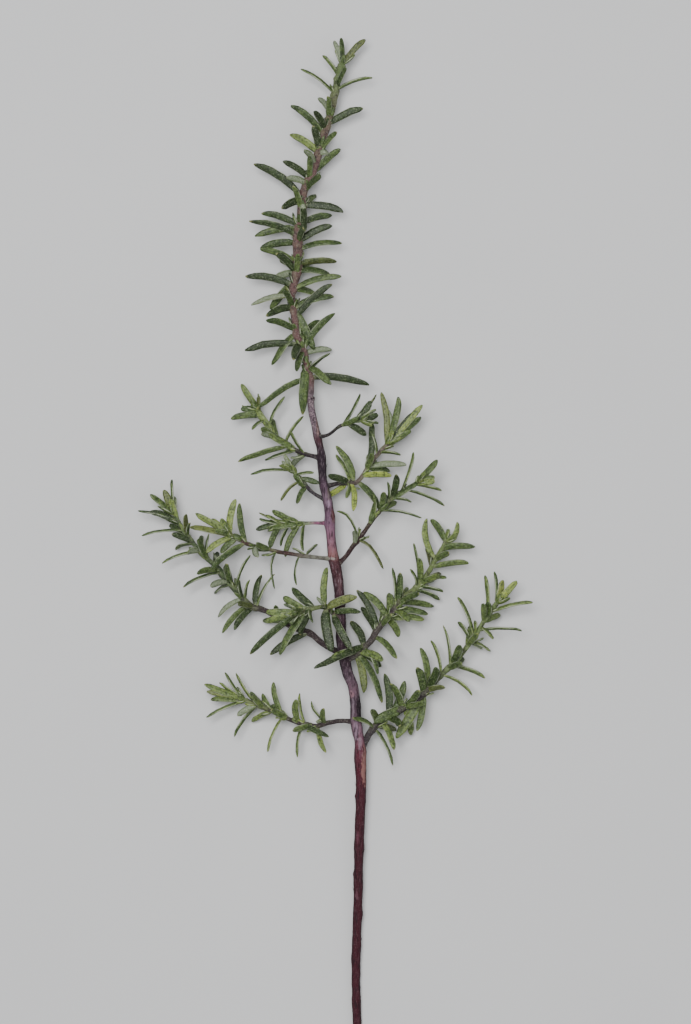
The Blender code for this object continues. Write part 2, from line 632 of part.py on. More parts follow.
def slant_the_cut(stem):
    """Cuts the low end of the stem along a slanted plane and closes it."""
    end = on_plan(*STEM_PATH[0][:3])
    normal = Vector((0, -math.cos(CUT_SLANT), math.sin(CUT_SLANT)))
    work = bmesh.new()
    work.from_mesh(stem.data)
    cut = bmesh.ops.bisect_plane(work, geom=work.verts[:] + work.edges[:] + work.faces[:],
                                 plane_co=(end + Vector((0, CUT_INSET, 0))) * MM, plane_no=normal,
                                 clear_outer=True)
    rim = [item for item in cut["geom_cut"] if isinstance(item, bmesh.types.BMEdge)]
    bmesh.ops.edgeloop_fill(work, edges=rim)
    bmesh.ops.recalc_face_normals(work, faces=work.faces)
    work.to_mesh(stem.data)
    work.free()


def make_stem(twigs, leader, parts, bark):
    """The bare stem with a collar for each twig, up to the gap below the leader."""
    path = [on_plan(*row[:3]) for row in STEM_PATH]
    radii = [row[3] / 2 for row in STEM_PATH]
    stem = tube("main_stem", path, radii, STEM_SIDES, parts)
    slant_the_cut(stem)
    collars = new_collection("collars")
    for twig in twigs:
        if twig is leader:
            continue
        line = stretch(twig.path, 0, twig.collar)
        swell = [twig.radius(0) * (COLLAR_SWELL + (1 - COLLAR_SWELL) * k / (len(line) - 1))
                 for k in range(len(line))]
        tube(twig.shoot["name"] + "_collar", line, swell, TWIG_SIDES, collars)
    join(stem, collars, parts)
    stem.data.materials.clear()
    stem.data.materials.append(bark)


def make_leafy_stem(twig, blades, parts, leaf):
    """A twig with its blades, fused."""
    name = twig.shoot["name"]
    line = stretch(twig.path, twig.collar + JOINT_GAP, twig.length)
    along = lengths_along(line)
    radii = [twig.radius(twig.collar + at) for at in along]
    stem = tube(name, line, radii, TWIG_SIDES, parts)
    leaves = new_collection(name + "_blades")
    for k, blade in enumerate(blades):
        blade_mesh(f"{name}_blade_{k}", blade, leaves)
    join(stem, leaves, parts)
    stem.data.materials.clear()
    stem.data.materials.append(leaf)


def main():
    for old in list(bpy.data.objects):
        bpy.data.objects.remove(old)
    parts = new_collection("rosemary_sprig")
    leader = make_twig(LEADER)
    twigs = [leader] + [make_twig(shoot) for shoot in SIDE_SHOOTS]
    grown = grow(twigs)
    make_stem(twigs, leader, parts, material("bark", BARK_COLOUR, 0.75))
    for twig in twigs:
        name = twig.shoot["name"]
        make_leafy_stem(twig, grown[name], parts, material(name + "_leaf", LEAF_COLOUR, 0.6))


main()
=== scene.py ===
"""Rosemary sprig: the finish of a cut sprig that lies on a table with its tip towards +Y.

A woody stem, a leafy leader and twelve leafy side shoots. Every leaf grows where its blade
in the solid model is: both come from the same plan, the same rules and the same draws.
The plan and the rules are in millimetres, and every mesh is in metres, +Z up.
"""
import math
import random

import bmesh
import bpy
import numpy
from bpy.props import FloatProperty, FloatVectorProperty, IntProperty, PointerProperty
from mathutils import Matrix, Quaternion, Vector, noise


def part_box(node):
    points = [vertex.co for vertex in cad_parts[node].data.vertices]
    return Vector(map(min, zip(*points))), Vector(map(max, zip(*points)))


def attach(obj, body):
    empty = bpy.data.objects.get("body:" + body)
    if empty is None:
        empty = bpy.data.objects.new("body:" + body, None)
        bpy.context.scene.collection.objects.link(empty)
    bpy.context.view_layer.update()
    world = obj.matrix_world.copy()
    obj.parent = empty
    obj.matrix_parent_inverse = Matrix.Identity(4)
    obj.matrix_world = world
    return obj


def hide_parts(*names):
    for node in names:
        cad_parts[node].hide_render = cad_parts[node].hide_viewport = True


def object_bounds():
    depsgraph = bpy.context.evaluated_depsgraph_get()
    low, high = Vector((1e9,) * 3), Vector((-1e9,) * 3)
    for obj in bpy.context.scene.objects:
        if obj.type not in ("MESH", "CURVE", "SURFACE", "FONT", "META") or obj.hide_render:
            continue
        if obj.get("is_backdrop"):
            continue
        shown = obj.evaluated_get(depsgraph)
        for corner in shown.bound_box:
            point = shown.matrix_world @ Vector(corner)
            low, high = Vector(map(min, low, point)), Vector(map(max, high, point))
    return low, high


bl_info = {
    "name": "Rosemary Sprig",
    "version": (1, 0, 0),
    "blender": (4, 5, 0),
    "location": "View3D > Sidebar > Rosemary",
    "description": "Grows the leaves, twigs and bark of a cut rosemary sprig",
    "category": "Add Mesh",
}

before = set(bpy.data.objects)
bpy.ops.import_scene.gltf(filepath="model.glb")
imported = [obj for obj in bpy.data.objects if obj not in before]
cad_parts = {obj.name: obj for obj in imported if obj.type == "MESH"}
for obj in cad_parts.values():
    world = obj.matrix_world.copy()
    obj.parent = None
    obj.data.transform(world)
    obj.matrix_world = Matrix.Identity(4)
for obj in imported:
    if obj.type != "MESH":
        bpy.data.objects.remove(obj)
CAD_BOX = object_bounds()
BODY = "root"

# Driving dimensions of the plan, in millimetres
MM = 0.001
PLAN_UNIT = 0.45            # one unit of the plan sheet, which is also one pixel of the picture
PLAN_CENTRE = (335, 548)    # the plan point above the origin; the sheet's y runs down
JOINT_GAP = 0.3
BLADE_WIDTH = 3.5
LEAF_CLEARANCE = 3.5        # between the middle lines of blades on different stems
FLOOR_CLEARANCE = 0.5       # from the table to the middle line of a blade
COLLAR_LENGTH = 5.0         # of branch that belongs to the stem, from the stem's middle line
CUT_SLANT = math.radians(28)
CUT_INSET = 2.0             # from the end of the stem's path to the middle of the cut

# A blade. Its curve is pulled towards a point BEND_SHARE of the way along it, moved by
# BEND_LEAD of its span towards the twig's tip
BEND_SHARE = 0.45
BEND_LEAD = 0.16
YOUNGEST = 0.62             # length of the last blade, as a share of a full-grown one
YOUTH_POWER = 3             # blades get short only near the end of a twig
SPREAD = 0.1                # lengths and widths vary by this share, rolls by this angle
RISE_SHARE = 0.75           # of the length that the plan doesn't show, taken up by the rise
RISE_SPREAD = 1.5
FIRST_ROOT = 1.5            # from the end of a collar to the first root
LAST_ROOT = 0.4             # from the last root to the end of a twig
STEEPEST = 0.2              # sine of a blade's angle to the vertical below which its side is fixed
HEIGHT_CHANGES = (0, 3, -3, 6, -6, 9, -9, 12, -12, 15, -15, 18)  # tried until a blade is clear
BLADE_PLACES = 8            # places along a blade, and along a twig, where others keep clear
TWIG_PLACES = 40
STEM_PLACE_STEP = 2.0       # and the distance between such places on the stem
TWIG_REACH = 1.1            # half the thickness of a twig that blades keep clear of

# The hidden pairs: where they start and end on a twig, their length and width as shares of a
# full blade's, how far they turn about the twig, and the angle between blade and twig
PAIR_START_SHARE = 0.2
PAIR_START = 3.0
PAIR_END = 4.0
PAIR_LENGTH = (0.7, 0.9)
PAIR_WIDTH = 0.9
PAIR_TURN = 0.6
PAIR_LEAN = (0.75, 1.05)
PAIR_ROLL = 0.4

# The tuft at the end of a twig: the length, the width and the angle to the twig of its crossed
# pairs, outermost first, how much their turn about the twig varies, and their outward bow. The
# solid of a twig whose end rises TUFT_RISE above its base has the outermost pair too
TUFT_RISE = 3.0
TUFT_PAIRS = ((8.0, 2.6, 0.62), (6.0, 2.2, 0.42), (4.0, 1.7, 0.22))
TUFT_SPREAD = 0.2
TUFT_SIZES = (0.85, 1.15)
TUFT_BOW = 0.12

# The bare stem from the cut end up: plan x, plan y, height of its middle, diameter
STEM_PATH = [
    (356, 1060, 2.0, 4.0), (357, 1024, 2.1, 4.0), (356, 969, 2.9, 4.0), (358, 900, 4.6, 4.1),
    (359, 845, 6.2, 4.3), (361, 787, 8.2, 4.7), (360, 762, 9.1, 5.0), (360, 745, 9.7, 5.0),
    (356, 723, 10.4, 4.9), (355, 702, 11.0, 4.7), (353, 687, 11.4, 4.6), (347, 671, 11.8, 4.7),
    (343, 650, 12.3, 4.8), (341, 628, 12.6, 4.7), (339, 591, 13.0, 4.6), (337, 574, 13.0, 4.7),
    (333, 555, 13.0, 4.6), (330, 527, 13.0, 4.3), (328, 503, 13.0, 4.0), (323, 481, 12.8, 3.8),
    (321, 453, 12.5, 3.4), (316, 431, 12.2, 3.3), (312, 412, 12.0, 3.2), (310, 397, 11.9, 3.2),
]

# The looks of a blade: its roll away from lying face up, its width as a share of a full one,
# and its tone from old dark green towards young yellow-green
D, M, Y, G, E, P, F = "dark", "mid", "young", "yellow", "edge", "pale", "broad"
LOOKS = {D: (0.2, 1.1, 0.12), M: (0.4, 1.08, 0.38), Y: (0.3, 1.08, 0.68), G: (0.3, 0.9, 0.9),
         E: (1.12, 0.85, 0.4), P: (math.pi - 0.3, 1.0, 0.4), F: (0.1, 1.4, 0.32)}

# A leafy stem has its path on the plan, the heights of its base and tip, its diameters there,
# the length of a full-grown blade, the number of its hidden pairs, the seed of its draws and,
# where its blades are narrow, their breadth as a share.
# A row of its blades is plan x and y of the tip, plan x and y of the root, and the look.
# Its bark has the colour at the base, at the tip, and how far along it turns green.
# Some have a collar of another length, a shift of tone or a chance of axil leaves of their own,
# a base in another colour, bark that is fuller from some distance on, or leaves that get
# narrower towards the tip by a share.
# Curls name the tip of a bowed leaf, and give the plan point that its curve is pulled towards
# and the share of its width that it keeps.
LEADER = {
    "name": "leader",
    "path": [(310, 397), (310, 381), (303, 351), (297, 335), (294, 317), (292, 296), (296, 276),
             (297, 260), (298, 238), (301, 217), (303, 194), (313, 171), (318, 156), (325, 131),
             (332, 108), (336, 87), (342, 64)],
    "heights": (11.9, 10.0), "diameters": (3.2, 2.0), "blade": 17, "collar": 0,
    "pairs": 8, "seed": 3, "fullness": 0.5, "full_from": 55, "narrow": 0.2,
    "tone": -0.12, "axils": 0.6,
    "bark": ("#5E4342", "#54643C", 0.86), "base": "#665860",
    "blades": [
        (341, 37, 341, 62, M), (365, 39, 345, 62, M), (334, 40, 340, 56, P),
        (322, 55, 336, 76, E), (301, 69, 330, 93, E), (372, 77, 338, 91, E),
        (318, 100, 328, 113, P), (363, 108, 331, 126, D), (291, 105, 320, 134, M),
        (314, 113, 317, 128, D), (290, 134, 311, 151, Y), (313, 127, 316, 151, D),
        (340, 149, 317, 176, M), (330, 154, 309, 151, P), (283, 162, 306, 178, D),
        (305, 152, 314, 165, P), (287, 179, 308, 185, P), (254, 163, 302, 197, D),
        (321, 177, 311, 194, M), (282, 209, 300, 200, D), (344, 212, 304, 206, D),
        (303, 217, 301, 203, P), (332, 215, 303, 224, M), (261, 213, 299, 226, D),
        (249, 221, 298, 236, D), (255, 236, 299, 229, M), (332, 225, 301, 243, D),
        (261, 248, 297, 243, M), (342, 243, 299, 250, M), (261, 249, 296, 264, M),
        (277, 255, 296, 273, D), (337, 262, 297, 265, M), (330, 274, 296, 271, M),
        (245, 276, 294, 286, D), (272, 279, 296, 273, P), (342, 276, 294, 289, M),
        (270, 309, 292, 280, M), (251, 305, 292, 296, P), (319, 296, 293, 289, M),
        (332, 284, 295, 320, D), (334, 296, 293, 309, M), (267, 317, 292, 308, D),
        (314, 349, 292, 311, F), (267, 321, 296, 331, M), (335, 313, 304, 350, M),
        (321, 320, 299, 340, M), (245, 350, 301, 345, D), (272, 365, 297, 333, M),
        (294, 361, 299, 344, D), (297, 372, 306, 350, M), (332, 349, 306, 354, P),
        (330, 354, 308, 372, E), (369, 385, 310, 378, D), (331, 385, 307, 366, M),
        (303, 414, 306, 366, F), (257, 410, 309, 378, M), (300, 233, 299, 226, M),
        (279, 258, 294, 270, M), (305, 232, 309, 205, D),
    ],
}
SIDE_SHOOTS = [
    {
        "name": "shoot_low_left",
        "path": [(356, 722), (341, 721), (329, 723), (315, 726), (298, 723), (284, 717),
                 (273, 712), (258, 706), (244, 700)],
        "heights": (10.4, 8.5), "diameters": (2.0, 1.4), "blade": 15, "pairs": 3, "seed": 11,
        "breadth": 0.8, "tone": 0.1, "axils": 0.5,
        "bark": ("#2C2024", "#5E6A3C", 0.8),
        "blades": [
            (204, 685, 240, 700, M), (206, 692, 243, 701, Y), (210, 700, 246, 702, M),
            (219, 683, 246, 700, E), (225, 673, 245, 700, E), (236, 673, 257, 704, E),
            (262, 695, 272, 712, M), (273, 683, 283, 715, M), (296, 699, 299, 722, M),
            (300, 693, 306, 722, E), (311, 702, 324, 714, E), (324, 708, 325, 724, M),
            (206, 718, 246, 702, E), (237, 716, 256, 707, P), (234, 737, 257, 708, E),
            (252, 722, 272, 713, M), (267, 753, 283, 718, E), (297, 758, 303, 726, E),
            (329, 736, 303, 726, D), (326, 752, 318, 727, Y), (212, 689, 244, 700, Y),
        ],
    },
    {
        "name": "shoot_low_right",
        "path": [(360, 752), (370, 733), (379, 723), (395, 713), (409, 705), (426, 692),
                 (440, 676), (457, 660), (471, 641), (485, 620), (497, 603)],
        "heights": (9.4, 12.0), "diameters": (2.9, 1.6), "blade": 16, "collar": 11,
        "pairs": 5, "seed": 12,
        "bark": ("#322A2E", "#5E7040", 0.55), "tone": 0.04,
        "curls": {(472, 696): (463, 679, 1.0)},
        "blades": [
            (517, 581, 496, 604, Y), (503, 580, 496, 603, Y), (494, 571, 496, 603, E),
            (485, 575, 485, 617, E), (488, 602, 486, 619, M), (533, 602, 493, 614, E),
            (474, 621, 476, 636, E), (457, 597, 473, 636, E), (458, 622, 470, 642, E),
            (522, 631, 479, 632, E), (492, 639, 482, 628, E), (483, 649, 470, 643, P),
            (491, 652, 472, 643, E), (443, 625, 449, 666, E), (459, 645, 451, 664, D),
            (431, 641, 440, 674, E), (485, 678, 451, 666, E), (472, 696, 441, 675, E),
            (420, 647, 428, 689, M), (417, 667, 423, 694, D), (437, 667, 428, 690, D),
            (385, 674, 387, 716, D), (405, 681, 391, 714, D), (391, 683, 401, 709, M),
            (419, 690, 404, 707, M), (371, 709, 376, 725, M), (374, 722, 402, 709, F),
            (396, 738, 421, 696, F), (417, 731, 424, 695, M), (411, 736, 404, 708, M),
            (400, 725, 388, 718, D), (396, 732, 377, 727, D), (394, 749, 381, 722, M),
            (393, 766, 373, 731, E), (353, 717, 371, 731, E),
        ],
    },
    {
        "name": "shoot_mid_left_long",
        "path": [(343, 655), (323, 644), (310, 633), (292, 627), (268, 612), (253, 607),
                 (240, 596), (229, 583), (220, 570), (207, 559), (198, 549), (188, 536),
                 (179, 523), (174, 514)],
        "heights": (10.0, 11.0), "diameters": (2.6, 1.6), "blade": 16, "pairs": 5, "seed": 13,
        "breadth": 0.85, "tone": -0.08,
        "bark": ("#33272A", "#37492A", 0.5),
        "curls": {(218, 617): (227, 602, 1.0)},
        "blades": [
            (172, 479, 174, 514, E), (164, 490, 174, 514, Y), (171, 499, 177, 520, Y),
            (150, 495, 175, 516, M), (150, 511, 180, 524, D), (137, 511, 178, 521, E),
            (142, 536, 184, 531, E), (172, 534, 192, 543, D), (174, 549, 194, 544, E),
            (162, 563, 200, 552, E), (188, 553, 200, 551, P), (190, 523, 188, 536, E),
            (201, 535, 202, 554, M), (209, 534, 207, 558, E), (217, 552, 218, 567, D),
            (198, 573, 220, 571, M), (183, 587, 221, 573, E), (211, 586, 229, 582, P),
            (214, 594, 230, 585, E), (226, 564, 232, 587, D), (250, 555, 235, 591, E),
            (240, 580, 243, 599, E), (250, 580, 245, 601, E), (261, 575, 256, 607, D),
            (275, 574, 257, 607, E), (218, 617, 243, 599, P), (222, 633, 250, 605, M),
            (235, 629, 253, 607, D), (270, 655, 309, 633, D),
        ],
    },
    {
        "name": "shoot_mid_left_short",
        "path": [(334, 559), (323, 558), (305, 556), (281, 552), (259, 547), (246, 543),
                 (230, 534)],
        "heights": (13.0, 18.0), "diameters": (1.8, 1.3), "blade": 15, "pairs": 1, "seed": 14,
        "breadth": 0.9, "tone": -0.06, "axils": 0.5,
        "bark": ("#6C6C60", "#402A28", 0.3),
        "curls": {(275, 589): (266, 563, 0.6), (297, 585): (292, 568, 0.6)},
        "blades": [
            (196, 513, 231, 535, Y), (190, 527, 232, 536, Y), (207, 552, 234, 536, Y),
            (236, 499, 231, 534, Y), (232, 510, 231, 534, Y), (212, 519, 231, 535, Y),
            (222, 519, 232, 535, Y), (240, 503, 247, 543, M), (245, 540, 233, 536, M),
            (221, 553, 237, 539, M), (211, 570, 246, 543, M), (258, 557, 256, 547, P),
            (275, 589, 277, 552, E), (297, 585, 300, 555, E), (318, 545, 306, 556, E),
        ],
    },
    {
        "name": "shoot_left_small",
        "path": [(329, 523), (316, 523), (305, 523), (292, 524), (280, 524)],
        "heights": (13.0, 11.0), "diameters": (1.5, 1.2), "blade": 12, "pairs": 0, "seed": 15,
        "breadth": 0.8,
        "bark": ("#84506A", "#7C8A6C", 0.35),
        "blades": [
            (273, 510, 300, 523, M), (259, 513, 290, 523, E), (259, 519, 284, 524, E),
            (256, 529, 281, 524, D), (272, 528, 304, 523, M), (270, 548, 281, 524, M),
            (281, 546, 290, 524, E), (285, 557, 300, 524, M), (303, 551, 305, 523, E),
        ],
    },
    {
        "name": "shoot_high_left",
        "path": [(321, 458), (305, 454), (294, 449), (283, 444), (273, 433), (264, 418),
                 (258, 410)],
        "heights": (12.4, 8.5), "diameters": (1.8, 1.4), "blade": 15, "pairs": 1, "seed": 16,
        "breadth": 0.9,
        "bark": ("#221620", "#586A42", 0.45),
        "curls": {(238, 462): (265, 449, 1.0)},
        "blades": [
            (241, 384, 259, 411, Y), (259, 396, 260, 412, E), (241, 409, 259, 411, D),
            (231, 418, 262, 416, M), (252, 430, 264, 421, E), (256, 408, 274, 435, Y),
            (284, 397, 269, 426, E), (261, 434, 278, 439, P), (269, 434, 297, 451, M),
            (290, 430, 305, 454, E), (304, 416, 285, 445, E), (238, 462, 288, 447, M),
            (265, 461, 297, 451, E), (292, 466, 306, 454, P),
        ],
    },
    {
        "name": "shoot_high_left_second",
        "path": [(327, 501), (312, 492), (303, 481), (292, 470)],
        "heights": (13.0, 17.5), "diameters": (1.6, 1.3), "blade": 12, "pairs": 0, "seed": 17,
        "breadth": 0.75,
        "bark": ("#302930", "#4C5A3A", 0.6),
        "curls": {(281, 501): (287, 485, 0.9)},
        "blades": [
            (251, 474, 293, 471, E), (281, 501, 303, 481, E), (297, 504, 307, 486, M),
            (320, 484, 301, 478, D), (314, 473, 297, 475, E), (303, 488, 295, 473, M),
        ],
    },
    {
        "name": "shoot_top_right",
        "path": [(317, 437), (328, 435), (339, 427), (350, 423), (361, 421)],
        "heights": (12.3, 20.0), "diameters": (1.5, 1.2), "blade": 12, "pairs": 0, "seed": 18,
        "breadth": 0.85,
        "bark": ("#170F16", "#4D5F3C", 0.8),
        "blades": [
            (360, 394, 342, 426, E), (376, 395, 352, 423, E), (371, 402, 355, 422, D),
            (359, 418, 341, 427, M), (378, 415, 360, 421, D), (379, 424, 360, 421, E),
            (366, 435, 347, 424, D),
        ],
    },
    {
        "name": "shoot_high_right",
        "path": [(324, 487), (336, 484), (349, 483), (358, 481), (369, 466), (379, 453),
                 (388, 444)],
        "heights": (12.8, 13.5), "diameters": (1.8, 1.4), "blade": 15, "pairs": 1, "seed": 23,
        "breadth": 0.95,
        "bark": ("#241B21", "#5A4E46", 0.35),
        "blades": [
            (422, 405, 386, 446, Y), (381, 392, 386, 446, Y), (389, 410, 387, 446, P),
            (399, 397, 388, 444, M), (421, 417, 386, 447, M), (413, 413, 388, 444, D),
            (411, 431, 383, 449, M), (371, 421, 369, 466, D), (371, 431, 377, 456, E),
            (401, 455, 380, 453, E), (337, 446, 354, 482, M), (336, 455, 350, 483, E),
            (328, 475, 348, 483, D), (322, 498, 347, 483, G), (353, 511, 351, 483, G),
            (346, 498, 348, 483, E), (381, 510, 357, 482, M), (391, 476, 362, 477, G),
            (406, 465, 368, 467, P), (390, 471, 367, 469, D),
        ],
    },
    {
        "name": "shoot_mid_right",
        "path": [(336, 566), (346, 556), (353, 546), (362, 535), (371, 522), (386, 503),
                 (401, 492), (417, 483)],
        "heights": (13.0, 17.0), "diameters": (2.0, 1.4), "blade": 15, "pairs": 1, "seed": 20,
        "breadth": 0.85,
        "bark": ("#2E161A", "#4C5230", 0.7),
        "curls": {(383, 569): (372, 540, 0.85), (337, 511): (353, 513, 0.85)},
        "blades": [
            (337, 511, 358, 540, E), (383, 569, 358, 541, E), (354, 531, 355, 545, P),
            (375, 504, 369, 525, M), (374, 496, 373, 519, E), (421, 518, 380, 511, E),
            (387, 482, 388, 501, E), (396, 475, 391, 499, D), (413, 452, 400, 492, E),
            (437, 460, 415, 484, M), (434, 477, 416, 483, Y), (434, 482, 415, 484, Y),
            (441, 491, 414, 485, E), (445, 506, 405, 490, E), (411, 502, 392, 498, E),
            (384, 494, 382, 508, D), (418, 482, 388, 501, M),
        ],
    },
    {
        "name": "shoot_long_right",
        "path": [(343, 664), (355, 654), (369, 643), (379, 628), (395, 609), (401, 599),
                 (418, 586), (432, 566), (442, 549), (447, 541)],
        "heights": (12.0, 10.0), "diameters": (2.7, 1.6), "blade": 16, "pairs": 4, "seed": 21,
        "breadth": 0.95,
        "bark": ("#3C3434", "#5E6E3C", 0.55),
        "curls": {
            (475, 547): (451, 543, 1.0), (458, 522): (458, 537, 1.0), (427, 519): (420, 540, 1.0),
        },
        "blades": [
            (427, 519, 437, 560, Y), (427, 548, 431, 567, D), (431, 519, 446, 543, M),
            (458, 522, 446, 543, Y), (475, 547, 442, 550, M), (469, 563, 431, 568, M),
            (447, 578, 423, 580, E), (413, 543, 418, 586, E), (419, 558, 420, 584, M),
            (410, 569, 417, 587, E), (443, 592, 417, 587, E), (440, 600, 413, 590, E),
            (392, 568, 396, 608, E), (400, 573, 398, 604, D), (389, 594, 389, 616, M),
            (434, 607, 399, 603, M), (428, 615, 394, 610, M), (424, 620, 387, 619, M),
            (409, 621, 394, 610, M), (357, 590, 378, 630, D), (361, 608, 376, 633, D),
            (364, 592, 388, 618, M), (399, 636, 387, 619, M), (397, 658, 374, 636, M),
            (351, 622, 364, 647, D), (331, 657, 360, 650, M), (315, 667, 366, 645, D),
            (383, 660, 358, 652, M), (381, 667, 358, 652, D), (378, 673, 364, 647, E),
            (382, 703, 357, 653, M), (364, 692, 356, 654, M),
        ],
    },
    {
        "name": "shoot_front",
        "path": [(341, 622), (333, 613), (325, 607), (312, 608), (299, 611)],
        "heights": (12.7, 26.0), "diameters": (2.0, 1.4), "blade": 16, "pairs": 0, "seed": 22,
        "tone": -0.18, "axils": 0.8,
        "bark": ("#4C3C3A", "#5E6A40", 0.5),
        "blades": [
            (327, 567, 327, 603, Y), (357, 596, 329, 604, Y), (361, 611, 333, 612, M),
            (292, 587, 315, 607, M), (284, 596, 307, 609, Y), (266, 611, 300, 611, Y),
            (266, 621, 298, 612, Y), (251, 653, 297, 612, M), (280, 654, 309, 612, M),
            (332, 651, 325, 609, F), (352, 650, 334, 613, D), (301, 606, 300, 611, Y),
            (313, 621, 311, 610, E), (300, 634, 312, 610, D),
        ],
    },
]

# What is added to the tone of a leaf's look, unless its stem has a shift of its own, how much
# the tone varies, and the tone of a tuft
TONE_SHIFT = -0.02
TONE_SPREAD = 0.14
TUFT_TONE = 0.52
# The small leaves in the angle between a blade and its twig, which only the finish has, as it
# has the inner pairs of a tuft: how often they grow, their length and width, their angle to the
# twig, their turn about it, and how much lighter than their blade they are, up to YOUNG_TONE
AXIL_CHANCE = 0.3
AXIL_LENGTH = (3.5, 7.5)
AXIL_WIDTH = (1.3, 2.0)
AXIL_LEAN = (0.3, 0.7)
AXIL_TURN = (0.35, 0.7)
AXIL_TONE = 0.1
YOUNG_TONE = 0.6
FINE_SEED = 1000            # added to a stem's seed, so that the young leaves have their own draws

# A leaf's section: across in widths, up in thicknesses, and how much of it is felted underside.
# The upper face has a groove down the middle, and the margins are rolled under
LEAF_SECTION = ((0.0, 0.26, 0.0), (0.24, 0.46, 0.0), (0.5, 0.06, 0.0), (0.42, -0.36, 0.3),
                (0.17, -0.2, 1.0), (0.0, -0.34, 1.0), (-0.17, -0.2, 1.0), (-0.42, -0.36, 0.3),
                (-0.5, 0.06, 0.0), (-0.24, 0.46, 0.0))
# Its outline: the share of its length, the share of its width and of its thickness there
LEAF_OUTLINE = ((0.0, 0.3, 0.6), (0.09, 0.56, 0.85), (0.24, 0.85, 1.0), (0.45, 0.95, 1.0),
                (0.68, 0.94, 1.0), (0.85, 0.78, 0.95), (0.95, 0.5, 0.75), (1.0, 0.18, 0.4))
THINNEST = 0.5              # of the full thickness, that the narrowest leaf would have
NARROW_POWER = 3            # how suddenly the leaves of a narrow tip get narrower
WAVE_SIZE = 7.0             # of the waves that bend a whole leaf
FRAY_SIZE = 1.5             # of the dents that make its outline uneven
LOWEST = 0.03               # nothing of the sprig is nearer to the table than this

# Twig and stem meshes
TWIG_SIDES = 12
TWIG_STEP = 0.7
STEM_SIDES = 28
STEM_STEP = 0.8
END_ROUND = 0.7             # how far a rounded end stands out, as a share of its radius
TWIG_RELIEF = 0.14          # depth of a twig's ridges as a share of its radius
TWIG_RIDGES = (1.6, 0.5)    # how close they are round the twig and along it
STEM_RELIEF = ((1.0, 1.2, 0.12, 3.0), (0.6, 3.2, 0.5, 9.0))  # share, the same two, and an offset
FLARE = 0.5                 # a twig is this much thicker at its base, up to FLARE_START
FLARE_START = 1.5
FLARE_LENGTH = 1.6
TWIG_FULLNESS = 0.1         # its bark is this much thicker than in the plan, from
FULL_FROM = 8.0             # about this distance on, and it gets so over
FULL_OVER = 12.0            # this distance
BASE_LENGTH = 7.0           # of a twig that keeps the colour of the stem at its base
OVER_TWIG = 0.9             # from a twig's bark to the middle of a leaf in front of it
OVERLAP = 0.15              # such a leaf overlaps its twig by at least this share of its width
FORWARD_BEND = 1.5          # how much its curve is raised for each millimetre at its tip
SAME_TIP = 0.5              # plan units within which a tip is the one that a curl names
FOOT_SWELL = 0.42           # a twig is this much thicker where the foot of a leaf runs down it
FOOT_UP = 0.6
FOOT_DOWN = 2.4
FOOT_ANGLE = 0.6
FOOT_REACH = 3              # times its length up and down, past which a foot ends
FOOT_COLOUR = "#6C7850"
FOOT_TINT = 0.6             # how strong that colour is where the bark is green
FOOT_TINT_BROWN = 0.2       # and where the bark is brown
GREEN_BLEND = 0.18          # of a twig's length, over which its bark turns green

# Down on the twigs and loose flakes on the stem. A hair's width and length, a flake's width,
# length and thickness, and how far along it, how broad and how far off the bark the flake is
DOWN_SIZE = (0.06, 0.6)
FLAKE_SIZE = (0.6, 2.4, 0.08)
FLAKE_CURL = ((0.0, 0.5, -0.1), (0.4, 1.0, 0.0), (0.8, 0.8, 0.14), (1.0, 0.3, 0.3))
SCATTER_SMALLEST = 0.4      # of a pattern, as a share of its full size
SCATTER_LOWEST = 1.0        # no pattern is rooted nearer to the table than this
CUT_FACING = -0.3           # nor on bark whose normal has a Y below this, as the cut has

# The bark's colour up the stem, as plan y and colour from the cut end on
BARK_COLOURS = (
    (1060, "#3A0E1B"), (880, "#380E1A"), (800, "#3C0F1C"), (768, "#4A1826"), (745, "#5E2F3E"),
    (727, "#7A5E6C"), (714, "#4A3742"), (700, "#33242F"), (691, "#644A56"), (678, "#4E3D48"),
    (665, "#2E1E29"), (612, "#321D26"), (575, "#3E2026"), (562, "#46272C"), (555, "#7E5654"),
    (547, "#805863"), (534, "#7A5467"), (521, "#6A4E62"), (509, "#5A4052"), (497, "#64505E"),
    (485, "#483443"), (475, "#211721"), (450, "#271A24"), (440, "#44272D"), (431, "#615058"),
    (414, "#75636D"), (397, "#74646A"),
)
# Patches of other colours on it, as plan x and y, half width, half length, colour and strength
BARK_PATCHES = (
    (364.5, 766, 1.5, 9.5, "#875F59", 0.9), (358, 766, 0.9, 9.0, "#4C0F20", 0.7),
    (360, 707, 1.7, 5.6, "#1C151B", 0.9), (353, 709, 0.6, 6.0, "#8A7A84", 0.5),
    (352, 694, 1.0, 1.6, "#8A6670", 0.8), (356, 731, 1.2, 5.0, "#857080", 0.7),
    (360, 743, 0.9, 3.4, "#8B7580", 0.6), (333.5, 515, 1.2, 4.2, "#553232", 0.9),
    (328, 504, 1.1, 1.8, "#8F768B", 0.8), (332, 558.5, 2.2, 0.6, "#9C948C", 0.7),
    (329, 492, 0.8, 3.0, "#605C44", 0.5), (313, 399, 0.9, 0.9, "#1F1715", 0.95),
    (318, 424, 0.9, 5.5, "#86685C", 0.6), (340, 585, 0.7, 6.0, "#5E4448", 0.6),
    (357.5, 838, 0.7, 3.0, "#6A3A4A", 0.4), (356.5, 897, 0.8, 2.2, "#7A5460", 0.35),
)
PATCH_RAGGED = 1.6          # how uneven the edge of a patch is
PATCH_EDGE = (1.5, 1.9)     # where it starts to fade and where it ends
BLOOM_PLAN = (770, 740)     # plan y between which the pale bloom sets in
SCALES_PLAN = (437, 426)    # and between which the scales do
